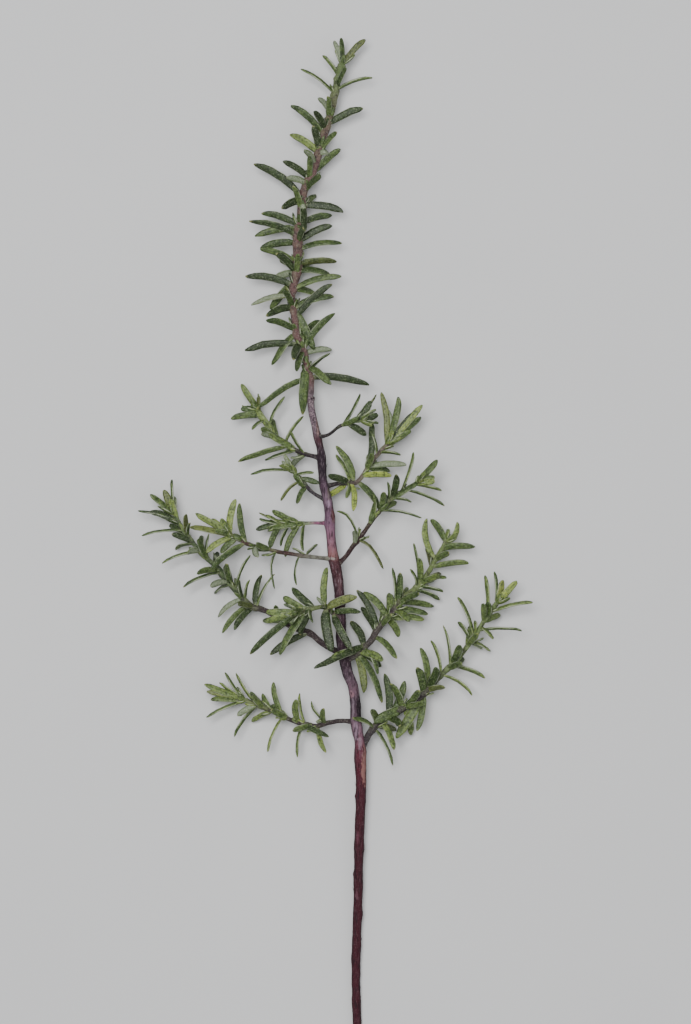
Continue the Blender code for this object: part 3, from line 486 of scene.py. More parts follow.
# Its scales under the leader: two ends of the noise that draws them, the strength at each, colour
SCALES = ((0.4, 0.5, 0.75, 0.0, "#2E1F2A"), (0.54, 0.66, 0.0, 0.7, "#A99A98"))
# Its bumps, old leaf nodes and scars: plan y, angle from the right side up and over, height as
# a share of its radius, and length
BARK_BUMPS = (
    (797, math.pi, 0.2, 0.9), (802, 0.0, 0.1, 1.4), (848, 0.0, 0.17, 2.6),
    (875, math.pi, 0.2, 1.2), (898, 1.6, 0.15, 1.4), (916, 0.0, 0.18, 2.0),
    (946, 0.4, 0.08, 1.6), (960, math.pi, 0.15, 2.8), (985, 0.0, -0.1, 3.0),
    (1003, math.pi, 0.12, 2.4), (764, 0.0, 0.14, 5.0), (742, math.pi, -0.08, 3.0),
    (517, 0.0, 0.2, 2.6), (524, math.pi, 0.1, 1.6), (541, 0.3, -0.1, 2.4),
    (455, 0.2, 0.14, 2.2), (462, math.pi, 0.1, 2.6), (468, 0.0, 0.1, 1.5),
    (638, math.pi, 0.12, 2.0), (603, 0.0, 0.12, 2.0), (689, 2.2, 0.12, 1.8),
    (707, 0.7, 0.12, 3.4), (558, 1.2, 0.12, 0.8), (399, 0.3, 0.4, 0.8),
)
BUMP_ANGLE = 0.8            # how far round the stem a bump reaches
JOINT_LENGTH = 2.4          # of the swelling where a shoot grows out of the stem
JOINT_SWELL = 0.09

# The picture is 691 by 1024 pixels and a plan unit is one of them at the height of the sprig
PICTURE_CENTRE = (345.5, 512)
PICTURE_LONG_SIDE = 1024
SPRIG_HEIGHT = 12.0
SENSOR = 36.0

# The stage in metres. A lamp has its name, place and size, and its share of the power
FLOOR_HALF_SIZE = 4.0
FLOOR_MOTTLE = 1000 / 9     # millimetres from one darker spot of the floor to the next
CAMERA_REACH = 20.0
LAMPS = (("key", (-0.28, 0.36, 1.9), 0.9, 1.0), ("fill", (0.9, -0.5, 1.4), 1.6, 0.12))

UP = Vector((0, 0, 1))


def linear(hex_colour):
    """An sRGB hex colour as linear red, green, blue and alpha."""
    parts = [int(hex_colour[k:k + 2], 16) / 255 for k in (1, 3, 5)]
    return (*((c / 12.92 if c <= 0.04045 else ((c + 0.055) / 1.055) ** 2.4) for c in parts), 1.0)


def on_plan(x, y, height):
    """The place in space of a plan point at a height above the table."""
    return Vector(((x - PLAN_CENTRE[0]) * PLAN_UNIT, (PLAN_CENTRE[1] - y) * PLAN_UNIT, height))


def plan_point(place):
    """The plan point under a place in space."""
    return place.x / PLAN_UNIT + PLAN_CENTRE[0], PLAN_CENTRE[1] - place.y / PLAN_UNIT


def stem_places():
    """The places that the stem's middle line goes through, from the cut end up."""
    return [on_plan(*row[:3]) for row in STEM_PATH]


def held(share):
    """A share that stays between 0 and 1."""
    return min(max(share, 0.0), 1.0)


def lengths_along(path):
    """The distance of each point from the start, measured along the path."""
    along = [0.0]
    for start, end in zip(path, path[1:]):
        along.append(along[-1] + (end - start).length)
    return along


def place_along(path, distance):
    """The point at a distance along the path, and the path's direction there."""
    along = lengths_along(path)
    for k in range(len(path) - 1):
        if distance <= along[k + 1] or k == len(path) - 2:
            direction = (path[k + 1] - path[k]).normalized()
            return path[k] + direction * (distance - along[k]), direction


def nearest_along(path, x, y):
    """The distance along the path of its point nearest to a plan point."""
    target = on_plan(x, y, 0).to_2d()
    along = lengths_along(path)
    best = (math.inf, 0.0)
    for k in range(len(path) - 1):
        start, end = path[k].to_2d(), path[k + 1].to_2d()
        share = held((target - start).dot(end - start) / max((end - start).length_squared, 1e-9))
        miss = (start.lerp(end, share) - target).length
        best = min(best, (miss, along[k] + share * (along[k + 1] - along[k])))
    return best[1]


class Twig:
    """The middle line of a leafy stem, from the collar that it grows out of to its end."""

    def __init__(self, shoot):
        base, tip = shoot["heights"]
        count = len(shoot["path"]) - 1
        self.shoot = shoot
        self.name = shoot["name"]
        self.collar = shoot.get("collar", COLLAR_LENGTH)
        self.path = [on_plan(x, y, base + (tip - base) * k / count)
                     for k, (x, y) in enumerate(shoot["path"])]
        self.length = lengths_along(self.path)[-1]
        self.rises = tip - base >= TUFT_RISE

    def radius(self, distance):
        """The twig's radius on the plan, at a distance along it."""
        base, tip = self.shoot["diameters"]
        return 0.5 * (base + (tip - base) * distance / self.length)


class Blade:
    """One leaf: its middle line is a quadratic curve from root to tip, pulled towards bend."""

    def __init__(self, root, bend, tip, roll, width, tone):
        self.root, self.bend, self.tip = root, bend, tip
        self.width = width
        self.tone = tone
        line = (tip - root).normalized()
        level = line.cross(UP)
        if level.length < STEEPEST:
            level = Vector((1, 0, 0))
        level.normalize()
        upright = level.cross(line).normalized()
        self.side = level * math.cos(roll) + upright * math.sin(roll)

    def point(self, t):
        """The place on the middle line at t, from 0 at the root to 1 at the tip."""
        return self.root * (1 - t) ** 2 + self.bend * (2 * t * (1 - t)) + self.tip * t ** 2


class Neighbours:
    """Points on the middle lines of all that is placed, which other stems' blades keep off."""

    def __init__(self):
        self.points, self.reaches, self.owners = [], [], []

    def add(self, points, reach, owner):
        """Adds an owner's points, and how far off them the blades of others stay."""
        self.points += [tuple(point) for point in points]
        self.reaches += [reach] * len(points)
        self.owners += [owner] * len(points)

    def clear(self, points, owner):
        """Whether an owner's points are clear of the table and of what others own."""
        if min(point.z for point in points) < FLOOR_CLEARANCE:
            return False
        others = numpy.array(self.owners) != owner
        if not others.any():
            return True
        there = numpy.array(self.points)[others]
        reach = numpy.array(self.reaches)[others]
        here = numpy.array([tuple(point) for point in points])
        apart = numpy.linalg.norm(there[None, :, :] - here[:, None, :], axis=2)
        return bool((apart > reach[None, :]).all())


def blade_samples(blade):
    """Places along a blade's middle line, the last one at its tip."""
    return [blade.point((k + 1) / BLADE_PLACES) for k in range(BLADE_PLACES)]


def clear_blade(root, direction, tip, roll, width, tone, twig_name, neighbours):
    """A blade, its tip raised or lowered until it is clear of the table and other stems."""
    span = (tip - root).length
    for change in HEIGHT_CHANGES:
        height = max(tip.z + change, FLOOR_CLEARANCE)
        raised = Vector((tip.x, tip.y, height))
        bend = root.lerp(raised, BEND_SHARE) + direction * (BEND_LEAD * span)
        bend.z = max(bend.z, 2 * FLOOR_CLEARANCE)
        blade = Blade(root, bend, raised, roll, width, tone)
        if neighbours.clear(blade_samples(blade), twig_name):
            return blade
    return None


def drawn_blades(twig, draw, neighbours):
    """The blades that the plan gives. One that is short there rises or sinks to make it up."""
    shoot = twig.shoot
    for tip_x, tip_y, root_x, root_y, look in shoot["blades"]:
        distance = max(nearest_along(twig.path, root_x, root_y), twig.collar + FIRST_ROOT)
        root, direction = place_along(twig.path, min(distance, twig.length - LAST_ROOT))
        youth = 1 - (1 - YOUNGEST) * (distance / twig.length) ** YOUTH_POWER
        full = shoot["blade"] * youth * draw.uniform(1 - SPREAD, 1 + SPREAD)
        tip = on_plan(tip_x, tip_y, root.z)
        lack = math.sqrt(max(full ** 2 - (tip - root).length_squared, 0))
        tip.z += RISE_SHARE * lack * draw.choice((1, 1, -1))
        tip.z += draw.uniform(-RISE_SPREAD, RISE_SPREAD)
        roll, breadth, tone = LOOKS[look]
        roll = draw.choice((1, -1)) * (roll + draw.uniform(-SPREAD, SPREAD))
        width = BLADE_WIDTH * shoot.get("breadth", 1) * breadth
        width *= draw.uniform(1 - SPREAD, 1 + SPREAD)
        yield clear_blade(root, direction, tip, roll, width, tone, twig.name, neighbours)


def paired_blades(twig, draw, neighbours):
    """The pairs that the plan hides: one blade up and one down, turned a little at each pair."""
    shoot = twig.shoot
    start = PAIR_START_SHARE * twig.length + PAIR_START
    room = twig.length - PAIR_END - start
    for k in range(shoot["pairs"]):
        root, direction = place_along(twig.path, start + room * (k + 0.5) / shoot["pairs"])
        full = shoot["blade"] * draw.uniform(*PAIR_LENGTH)
        sideways = direction.cross(UP).normalized()
        for side in (1, -1):
            turn = draw.uniform(-PAIR_TURN, PAIR_TURN)
            outwards = Vector((0, 0, side * math.cos(turn))) + sideways * math.sin(turn)
            lean = draw.uniform(*PAIR_LEAN)
            tip = root + (direction * math.cos(lean) + outwards * math.sin(lean)) * full
            yield clear_blade(root, direction, tip, draw.uniform(-PAIR_ROLL, PAIR_ROLL),
                              BLADE_WIDTH * PAIR_WIDTH, LOOKS[M][2], twig.name, neighbours)


def young_blade(root, direction, outwards, lean, length, width, tone):
    """A blade that leaves its twig at an angle and bows outwards on the way."""
    aim = (direction * math.cos(lean) + outwards * math.sin(lean)).normalized()
    tip = root + aim * length
    tip.z = max(tip.z, FLOOR_CLEARANCE)
    blade = Blade(root, root.lerp(tip, 0.5) + outwards * (TUFT_BOW * length), tip, 0, width, tone)
    blade.side = aim.cross(outwards).normalized()
    return blade


def tuft_pair(twig, draw, k):
    """The two young blades of crossed pair k at the end of a twig, counted from the outermost."""
    root, direction = place_along(twig.path, twig.length - LAST_ROOT)
    level = direction.cross(UP).normalized()
    length, width, lean = TUFT_PAIRS[k]
    for half in (0, 1):
        turn = (twig.shoot["seed"] + k * math.pi / 2 + half * math.pi
                + draw.uniform(-TUFT_SPREAD, TUFT_SPREAD))
        outwards = Quaternion(direction, turn) @ level
        yield young_blade(root, direction, outwards, lean, length * draw.uniform(*TUFT_SIZES),
                          width, TUFT_TONE)


def tuft_blades(twig, draw, neighbours):
    """The outermost pair of young blades at the end of a twig that rises."""
    if twig.rises:
        for blade in tuft_pair(twig, draw, 0):
            yield blade if neighbours.clear(blade_samples(blade), twig.name) else None


def grow(twigs):
    """Every blade of every leafy stem, kept clear of the blades and twigs of the others."""
    neighbours = Neighbours()
    stem = stem_places()
    for start, end, row in zip(stem, stem[1:], STEM_PATH):
        steps = math.ceil((end - start).length / STEM_PLACE_STEP)
        neighbours.add([start.lerp(end, k / steps) for k in range(steps)],
                       row[3] / 2 + BLADE_WIDTH / 2 + JOINT_GAP, "main_stem")
    for twig in twigs:
        places = [place_along(twig.path, twig.length * k / TWIG_PLACES)[0]
                  for k in range(TWIG_PLACES + 1)]
        neighbours.add(places, BLADE_WIDTH / 2 + TWIG_REACH + JOINT_GAP, twig.name)
    grown = {}
    for twig in twigs:
        draw = random.Random(twig.shoot["seed"])
        kept = []
        for kind in (drawn_blades, paired_blades, tuft_blades):
            for blade in kind(twig, draw, neighbours):
                if blade:
                    kept.append(blade)
                    neighbours.add(blade_samples(blade), LEAF_CLEARANCE, twig.name)
                    if kind is drawn_blades:
                        bring_forward(twig, blade)
                        curl(twig, blade)
        grown[twig.name] = kept
    return grown


def inner_tuft(twig, fine):
    """The crossed pairs of young leaves of a tuft that its solid leaves out."""
    for k in range(1 if twig.rises else 0, len(TUFT_PAIRS)):
        yield from tuft_pair(twig, fine, k)


def axil_leaves(twig, blades, fine):
    """Pairs of tiny leaves in the angle between some blades and their twig."""
    for blade in blades:
        if fine.random() > twig.shoot.get("axils", AXIL_CHANCE):
            continue
        aim = (blade.bend - blade.root).normalized()
        direction = place_along(twig.path, nearest_along_space(twig.path, blade.root))[1]
        outwards = (aim - direction * aim.dot(direction)).normalized()
        for side in (1, -1):
            lean = fine.uniform(*AXIL_LEAN)
            spread = Quaternion(direction, side * fine.uniform(*AXIL_TURN)) @ outwards
            yield young_blade(blade.root, direction, spread, lean, fine.uniform(*AXIL_LENGTH),
                              fine.uniform(*AXIL_WIDTH), min(blade.tone + AXIL_TONE, YOUNG_TONE))


def nearest_along_space(path, place):
    """The distance along the path of its point nearest to a place in space."""
    return nearest_along(path, *plan_point(place))


def smooth_line(points, step):
    """Places a step apart, or a little less, on a Catmull-Rom curve through the points."""
    ends = [2 * points[0] - points[1], *points, 2 * points[-1] - points[-2]]
    line = []
    for a, b, c, d in zip(ends, ends[1:], ends[2:], ends[3:]):
        count = max(1, math.ceil((c - b).length / step))
        for k in range(count):
            t = k / count
            line.append(0.5 * (2 * b + (c - a) * t + (2 * a - 5 * b + 4 * c - d) * t ** 2
                               + (3 * b - a - 3 * c + d) * t ** 3))
    line.append(Vector(points[-1]))
    return line


def frames_along(line):
    """A direction and two crosswise directions at each place, turning as little as they can."""
    frames = []
    across = None
    for k, place in enumerate(line):
        direction = (line[min(k + 1, len(line) - 1)] - line[max(k - 1, 0)]).normalized()
        if across is None:
            across = direction.cross(UP).normalized()
        across = (across - direction * across.dot(direction)).normalized()
        frames.append((direction, across, across.cross(direction)))
    return frames


def ring_faces(work, rings):
    """Joins each ring of vertices to the next with a band of faces."""
    for low, high in zip(rings, rings[1:]):
        for k in range(len(low)):
            work.faces.new((low[k - 1], low[k], high[k], high[k - 1]))


def plain_mesh(name, work, smooth=False):
    """The mesh of a finished bmesh, with its normals outward."""
    bmesh.ops.recalc_face_normals(work, faces=work.faces)
    mesh = bpy.data.meshes.new(name)
    work.to_mesh(mesh)
    work.free()
    if smooth:
        mesh.shade_smooth()
    return mesh


def lofted(name, line, radius_at, sides, rounded_ends=(False, True)):
    """A closed tube round a line. radius_at gives the radius for a distance and an angle."""
    along = lengths_along(line)
    frames = frames_along(line)
    work = bmesh.new()
    far = work.verts.layers.float.new("along")
    round_it = work.verts.layers.float.new("around")
    rings = []
    for place, at, (_, across, upward) in zip(line, along, frames):
        ring = []
        for k in range(sides):
            angle = 2 * math.pi * k / sides
            out = across * math.cos(angle) + upward * math.sin(angle)
            spot = place + out * radius_at(at, angle)
            spot.z = max(spot.z, LOWEST)
            vert = work.verts.new(spot * MM)
            vert[far] = at * MM
            vert[round_it] = angle
            ring.append(vert)
        rings.append(ring)
    ring_faces(work, rings)
    for end, outwards in ((0, -frames[0][0]), (-1, frames[-1][0])):
        depth = radius_at(along[end], 0.0) * END_ROUND if rounded_ends[end] else 0.0
        pole = work.verts.new((line[end] + outwards * depth) * MM)
        pole[far] = along[end] * MM
        for k in range(sides):
            work.faces.new((rings[end][k - 1], rings[end][k], pole))
    return plain_mesh(name, work, smooth=True)


def new_object(name, data):
    """An object of a mesh, a lamp or a camera, linked to the scene."""
    made = bpy.data.objects.new(name, data)
    bpy.context.scene.collection.objects.link(made)
    return made


def finish_piece(piece, node):
    """Rides a finished piece on the sprig's body, in place of its solid."""
    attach(piece, BODY)
    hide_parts(node)


def add_node(tree, kind, inputs=(), **settings):
    """Adds a node with its settings. Each input is linked to a socket or set to a value."""
    made = tree.nodes.new(kind)
    for name, value in settings.items():
        setattr(made, name, value)
    for key, value in dict(inputs).items():
        if isinstance(value, bpy.types.NodeSocket):
            tree.links.new(value, made.inputs[key])
        else:
            made.inputs[key].default_value = value
    return made


def new_material(name, **uniform):
    """A material with its Principled shader, whose uniform inputs are set on their sockets."""
    made = bpy.data.materials.new(name)
    made.use_nodes = True
    shader = made.node_tree.nodes["Principled BSDF"]
    for key, value in uniform.items():
        shader.inputs[key.replace("_", " ")].default_value = value
    return made, made.node_tree, shader


def mix_colour(tree, factor, low, high):
    """The colour between two others, each a socket or a hex colour."""
    low = linear(low) if isinstance(low, str) else low
    high = linear(high) if isinstance(high, str) else high
    mixed = add_node(tree, "ShaderNodeMix", {0: factor, 6: low, 7: high}, data_type="RGBA")
    return mixed.outputs[2]


def ramp(tree, factor, stops):
    """A colour ramp through the stops, each a place from 0 to 1 and a hex colour."""
    made = add_node(tree, "ShaderNodeValToRGB", {0: factor})
    elements = made.color_ramp.elements
    elements[0].position, elements[0].color = stops[0][0], linear(stops[0][1])
    elements[1].position, elements[1].color = stops[-1][0], linear(stops[-1][1])
    for place, colour in stops[1:-1]:
        elements.new(place).color = linear(colour)
    return made.outputs[0]


def noise_at(tree, place, size, detail):
    """Smooth noise from 0 to 1 whose features are about as large as size, in millimetres."""
    return add_node(tree, "ShaderNodeTexNoise", {"Vector": place, "Scale": 1 / (size * MM),
                                                 "Detail": detail}).outputs[0]


def share_of(tree, value, low, high, at_low, at_high):
    """A value's place between two others, as a share that is held outside them."""
    return add_node(tree, "ShaderNodeMapRange", {0: value, 1: low, 2: high,
                                                 3: at_low, 4: at_high}).outputs[0]


def number(tree, operation, *values, **settings):
    """The result of an operation on numbers, each a socket or a value."""
    return add_node(tree, "ShaderNodeMath", dict(enumerate(values)), operation=operation,
                    **settings).outputs[0]


def vector(tree, operation, *values, **named):
    """The result of an operation on vectors, each a socket or a value."""
    made = add_node(tree, "ShaderNodeVectorMath", {**dict(enumerate(values)), **named},
                    operation=operation)
    return made.outputs["Value" if operation == "LENGTH" else "Vector"]


def axis(tree, place, name):
    """What a vector is along X, Y or Z."""
    return add_node(tree, "ShaderNodeSeparateXYZ", {0: place}).outputs[name]


def attribute(tree, name, output="Fac"):
    """An attribute of the mesh, for a shader to read."""
    return add_node(tree, "ShaderNodeAttribute", attribute_name=name).outputs[output]


def object_place(tree):
    """The place of a point of the surface, for a shader to read."""
    return add_node(tree, "ShaderNodeTexCoord").outputs["Object"]


def lay_over(tree, colour, *layers):
    """Lays shades over a colour. A layer is a value, two of its places, its strength at each
    of them, and its hex colour."""
    for value, low, high, at_low, at_high, shade in layers:
        strength = share_of(tree, value, low, high, at_low, at_high)
        colour = mix_colour(tree, strength, colour, shade)
    return colour


def finish_shader(tree, shader, colour, height, strength, depth):
    """Gives a shader its colour and its bumps, which are depth millimetres deep."""
    bump = add_node(tree, "ShaderNodeBump", {"Height": height, "Strength": strength,
                                             "Distance": depth * MM})
    tree.links.new(colour, shader.inputs["Base Color"])
    tree.links.new(bump.outputs[0], shader.inputs["Normal"])


def leaf_material():
    """Rosemary leaf: a waxy green upper face with pale margins, and white felt beneath.

    Fine pits and pale oil glands break up the colour of the upper face. They are drawn about
    0.6 mm apart, which is twice their real spacing, or they wouldn't show.
    """
    made, tree, shader = new_material("rosemary_leaf_waxy_and_felted", Metallic=0.0, IOR=1.42,
                                      Specular_IOR_Level=0.38)
    tone, felt, turn = (attribute(tree, name) for name in ("tone", "felt", "turn"))
    local = attribute(tree, "local", "Vector")
    across, along = number(tree, "ABSOLUTE", axis(tree, local, "X")), axis(tree, local, "Y")
    place = object_place(tree)
    blotch = number(tree, "MULTIPLY_ADD", noise_at(tree, place, 2.4, 3.0), 0.8, -0.4)
    colour = ramp(tree, number(tree, "ADD", tone, blotch, use_clamp=True),
                  ((0.0, "#1D2B0E"), (0.2, "#34471E"), (0.45, "#586A37"), (0.75, "#7E8F48"),
                   (1.0, "#9DAC46")))
    glands, pits = noise_at(tree, place, 0.55, 2.0), noise_at(tree, place, 0.9, 3.0)
    # The brown of old leaves, glands, pits, painted shade in the groove down the upper face, the
    # margins and the pale foot
    colour = lay_over(tree, colour,
                      (turn, 0.8, 1.0, 0.0, 0.35, "#66602F"),
                      (glands, 0.5, 0.72, 0.0, 0.55, "#969F82"),
                      (pits, 0.34, 0.5, 0.8, 0.0, "#19230C"),
                      (across, 0.0, 0.09, 0.45, 0.0, "#313D22"),
                      (across, 0.39, 0.47, 0.0, 0.75, "#BFC4AC"),
                      (along, 0.02, 0.16, 0.6, 0.0, "#9EA57C"))
    pale = share_of(tree, turn, -0.7, 0.0, 0.5, 0.0)
    tip = number(tree, "MULTIPLY", share_of(tree, along, 0.95, 1.0, 0.0, 1.0), pale)
    colour = mix_colour(tree, tip, colour, "#B5B271")
    wool = ramp(tree, glands, ((0.3, "#5C684E"), (0.7, "#9CA58C")))
    colour = mix_colour(tree, felt, colour, wool)
    tree.links.new(share_of(tree, felt, 0.0, 1.0, 0.5, 0.9), shader.inputs["Roughness"])
    finish_shader(tree, shader, colour, glands, 0.6, 0.15)
    return made


def twig_material():
    """Young rosemary bark: thin, matt and downy, brown at the base and green at the tip."""
    made, tree, shader = new_material("young_bark_downy", Metallic=0.0, IOR=1.42, Roughness=0.85)
    place = object_place(tree)
    grain, patch = noise_at(tree, place, 0.8, 4.0), noise_at(tree, place, 1.7, 3.0)
    colour = lay_over(tree, attribute(tree, "tint", "Color"),
                      (grain, 0.5, 0.7, 0.0, 0.22, "#B0AD9E"),
                      (patch, 0.36, 0.5, 0.65, 0.0, "#2A2024"))
    finish_shader(tree, shader, colour, grain, 0.7, 0.2)
    return made


def stem_material():
    """Woody rosemary bark: thin, dull and fissured, with a pale bloom on its upper half."""
    made, tree, shader = new_material("woody_bark_fissured", Metallic=0.0, Roughness=0.8,
                                      Specular_IOR_Level=0.25)
    place = object_place(tree)
    low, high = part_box("main_stem")
    along = share_of(tree, axis(tree, place, "Y"), low.y, high.y, 0.0, 1.0)
    colour = ramp(tree, along, [(stem_share(y), shade) for y, shade in BARK_COLOURS])
    fibres = add_node(tree, "ShaderNodeMapping", {0: place, 3: (1.0, 0.2, 1.0)}).outputs[0]
    grain, mottle = noise_at(tree, fibres, 0.8, 5.0), noise_at(tree, fibres, 0.45, 4.0)
    ragged, scales = noise_at(tree, place, 1.2, 5.0), noise_at(tree, place, 0.55, 3.0)
    for x, y, half_width, half_length, shade, strength in BARK_PATCHES:
        centred = vector(tree, "SUBTRACT", place, on_plan(x, y, 0) * MM)
        out = vector(tree, "LENGTH", vector(
            tree, "MULTIPLY", centred, (1 / (half_width * MM), 1 / (half_length * MM), 0.0)))
        edge = number(tree, "MULTIPLY_ADD", ragged, PATCH_RAGGED, out)
        colour = lay_over(tree, colour, (edge, *PATCH_EDGE, strength, 0.0, shade))
    bloom = share_of(tree, along, *map(stem_share, BLOOM_PLAN), 0.1, 0.36)
    flecks = number(tree, "MULTIPLY", share_of(tree, mottle, 0.52, 0.72, 0.0, 1.0), bloom)
    colour = mix_colour(tree, flecks, colour, "#A08F98")
    scaly = share_of(tree, along, *map(stem_share, SCALES_PLAN), 0.12, 1.0)
    for *ends, shade in SCALES:
        layer = number(tree, "MULTIPLY", share_of(tree, scales, *ends), scaly)
        colour = mix_colour(tree, layer, colour, shade)
    normal = add_node(tree, "ShaderNodeTexCoord").outputs["Normal"]
    # The furrows, and painted shade that darkens the stem's sides and underside where its normal
    # turns away from up
    colour = lay_over(tree, colour, (grain, 0.36, 0.47, 0.75, 0.0, "#1A0F14"),
                      (axis(tree, normal, "Z"), 0.1, 0.75, 0.65, 0.0, "#12090D"))
    finish_shader(tree, shader, colour, grain, 0.8, 0.35)
    return made


def stem_share(plan_y):
    """How far up the bare stem a plan y is, from 0 at the cut to 1 at the leader."""
    low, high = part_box("main_stem")
    return (on_plan(0, plan_y, 0).y * MM - low.y) / (high.y - low.y)


def wood_material():
    """Cut wood: a pale damp ring of sapwood round a small darker pith."""
    made, tree, shader = new_material("cut_sapwood", Metallic=0.0, IOR=1.45, Roughness=0.7)
    place = object_place(tree)
    centred = vector(tree, "SUBTRACT", place, stem_places()[0] * MM)
    out = vector(tree, "LENGTH", vector(tree, "MULTIPLY", centred, (1.0, 0.0, 1.0)))
    rings = ramp(tree, share_of(tree, out, 0.0, STEM_PATH[0][3] / 2 * MM, 0.0, 1.0),
                 ((0.0, "#8A6A48"), (0.16, "#A08560"), (0.24, "#CDBB92"), (0.75, "#C3B184"),
                  (0.86, "#9FA56C"), (1.0, "#6C4A40")))
    grain = noise_at(tree, place, 0.3, 3.0)
    colour = lay_over(tree, rings, (grain, 0.3, 0.7, 0.35, 0.0, "#7C6444"))
    finish_shader(tree, shader, colour, grain, 0.5, 0.1)
    return made


def leaf_mesh():
    """One leaf in its own units, lofted through its sections: across, along and up."""
    work = bmesh.new()
    local = work.verts.layers.float_vector.new("local")
    felt = work.verts.layers.float.new("felt")
    rings = []
    for share, breadth, depth in LEAF_OUTLINE:
        ring = []
        for across, up, felted in LEAF_SECTION:
            vert = work.verts.new((across, share, up))
            vert[local] = (across * breadth, share, up * depth)
            vert[felt] = felted
            ring.append(vert)
        rings.append(ring)
    ring_faces(work, rings)
    work.faces.new(rings[0])
    work.faces.new(reversed(rings[-1]))
    return plain_mesh("leaf", work, smooth=True)


def new_tree(name, **inputs):
    """A geometry node tree with its named inputs, and the sockets that give them inside it."""
    tree = bpy.data.node_groups.new(name, "GeometryNodeTree")
    for key, kind in {"Geometry": "Geometry", **inputs, "Material": "Material"}.items():
        tree.interface.new_socket(key, in_out="INPUT", socket_type="NodeSocket" + kind)
    tree.interface.new_socket("Geometry", in_out="OUTPUT", socket_type="NodeSocketGeometry")
    return tree, add_node(tree, "NodeGroupInput").outputs


def finish_tree(tree, given, geometry):
    """Gives the geometry its material and hands it out of the tree."""
    finished = add_node(tree, "GeometryNodeSetMaterial",
                        {"Geometry": geometry, "Material": given["Material"]})
    add_node(tree, "NodeGroupOutput", {0: finished.outputs[0]})
    return tree


def leaf_tree():
    """A node tree that puts a leaf at each point and bends it along the point's own curve."""
    tree, given = new_tree("rosemary_leaves", Leaf="Object", Thickness="Float", Twist="Float",
                           Seed="Int", Wave="Float", Fray="Float")

    def read(name, data_type="FLOAT_VECTOR"):
        return add_node(tree, "GeometryNodeInputNamedAttribute", {"Name": name},
                        data_type=data_type).outputs[0]

    def between(share, low, high):
        return add_node(tree, "ShaderNodeMix", {0: share, 4: low, 5: high},
                        data_type="VECTOR").outputs[1]

    def scaled(first, amount):
        return vector(tree, "SCALE", first, Scale=amount)

    def product(first, second):
        return number(tree, "MULTIPLY", first, second)

    def wobble(place, size, amount):
        noisy = add_node(tree, "ShaderNodeTexNoise", {"Vector": place, "Scale": 1 / (size * MM),
                                                      "Detail": 1.0}).outputs[1]
        return scaled(vector(tree, "SUBTRACT", noisy, (0.5, 0.5, 0.5)), amount)

    leaf = add_node(tree, "GeometryNodeObjectInfo", {"Object": given["Leaf"]})
    turn = add_node(tree, "FunctionNodeRandomValue", {2: -1.0, 3: 1.0, "Seed": given["Seed"]},
                    data_type="FLOAT")
    points = add_node(tree, "GeometryNodeStoreNamedAttribute",
                      {"Geometry": given["Geometry"], "Name": "turn", "Value": turn.outputs[1]},
                      data_type="FLOAT", domain="POINT")
    placed = add_node(tree, "GeometryNodeInstanceOnPoints",
                      {"Points": points.outputs[0], "Instance": leaf.outputs["Geometry"]})
    real = add_node(tree, "GeometryNodeRealizeInstances", {"Geometry": placed.outputs[0]})

    # The place on the leaf's curve, and the way across it from there
    local, side = read("local"), read("side")
    share = axis(tree, local, "Y")
    near = between(share, read("root"), read("bend"))
    far = between(share, read("bend"), read("tip"))
    middle = between(share, near, far)
    direction = vector(tree, "NORMALIZE", vector(tree, "SUBTRACT", far, near))
    upward = vector(tree, "NORMALIZE", vector(tree, "CROSS_PRODUCT", side, direction))
    breadth = product(axis(tree, local, "X"), read("width", "FLOAT"))
    depth = product(axis(tree, local, "Z"), product(read("depth", "FLOAT"), given["Thickness"]))
    offset = vector(tree, "ADD", scaled(side, breadth), scaled(upward, depth))
    angle = product(product(share, read("turn", "FLOAT")), given["Twist"])
    rolled = add_node(tree, "ShaderNodeVectorRotate",
                      {"Vector": offset, "Axis": direction, "Angle": angle},
                      rotation_type="AXIS_ANGLE").outputs[0]

    # Then the waves, the dents and the table
    waves = wobble(middle, WAVE_SIZE, product(share, given["Wave"]))
    surface = vector(tree, "ADD", vector(tree, "ADD", middle, waves), rolled)
    frayed = vector(tree, "ADD", surface, wobble(surface, FRAY_SIZE, given["Fray"]))
    above = vector(tree, "MAXIMUM", frayed, (-1.0, -1.0, LOWEST * MM))
    bent = add_node(tree, "GeometryNodeSetPosition",
                    {"Geometry": real.outputs[0], "Position": above})
    return finish_tree(tree, given, bent.outputs[0])


def nearest_share(twig, place):
    """How far along a twig a place is, from 0 at its base to 1 at its end."""
    return nearest_along_space(twig.path, place) / twig.length


def leaf_points(twig, blades, fine):
    """A mesh of one point for each leaf, with the leaf's curve and looks as attributes."""
    name = twig.name + "_points"
    shift = twig.shoot.get("tone", TONE_SHIFT)
    narrow = twig.shoot.get("narrow", 0.0)
    mesh = bpy.data.meshes.new(name)
    mesh.from_pydata([tuple(blade.root * MM) for blade in blades], [], [])
    for key, unit in (("root", MM), ("bend", MM), ("tip", MM), ("side", 1.0)):
        values = [c for blade in blades for c in getattr(blade, key) * unit]
        mesh.attributes.new(key, "FLOAT_VECTOR", "POINT").data.foreach_set("vector", values)
    tones = [held(blade.tone + shift + fine.uniform(-TONE_SPREAD, TONE_SPREAD))
             for blade in blades]
    depths = [THINNEST + (1 - THINNEST) * min(blade.width / BLADE_WIDTH, 1.0)
              for blade in blades]
    widths = [blade.width * (1 - narrow * nearest_share(twig, blade.root) ** NARROW_POWER) * MM
              for blade in blades]
    for key, values in (("tone", tones), ("depth", depths), ("width", widths)):
        mesh.attributes.new(key, "FLOAT", "POINT").data.foreach_set("value", values)
    return new_object(name, mesh)


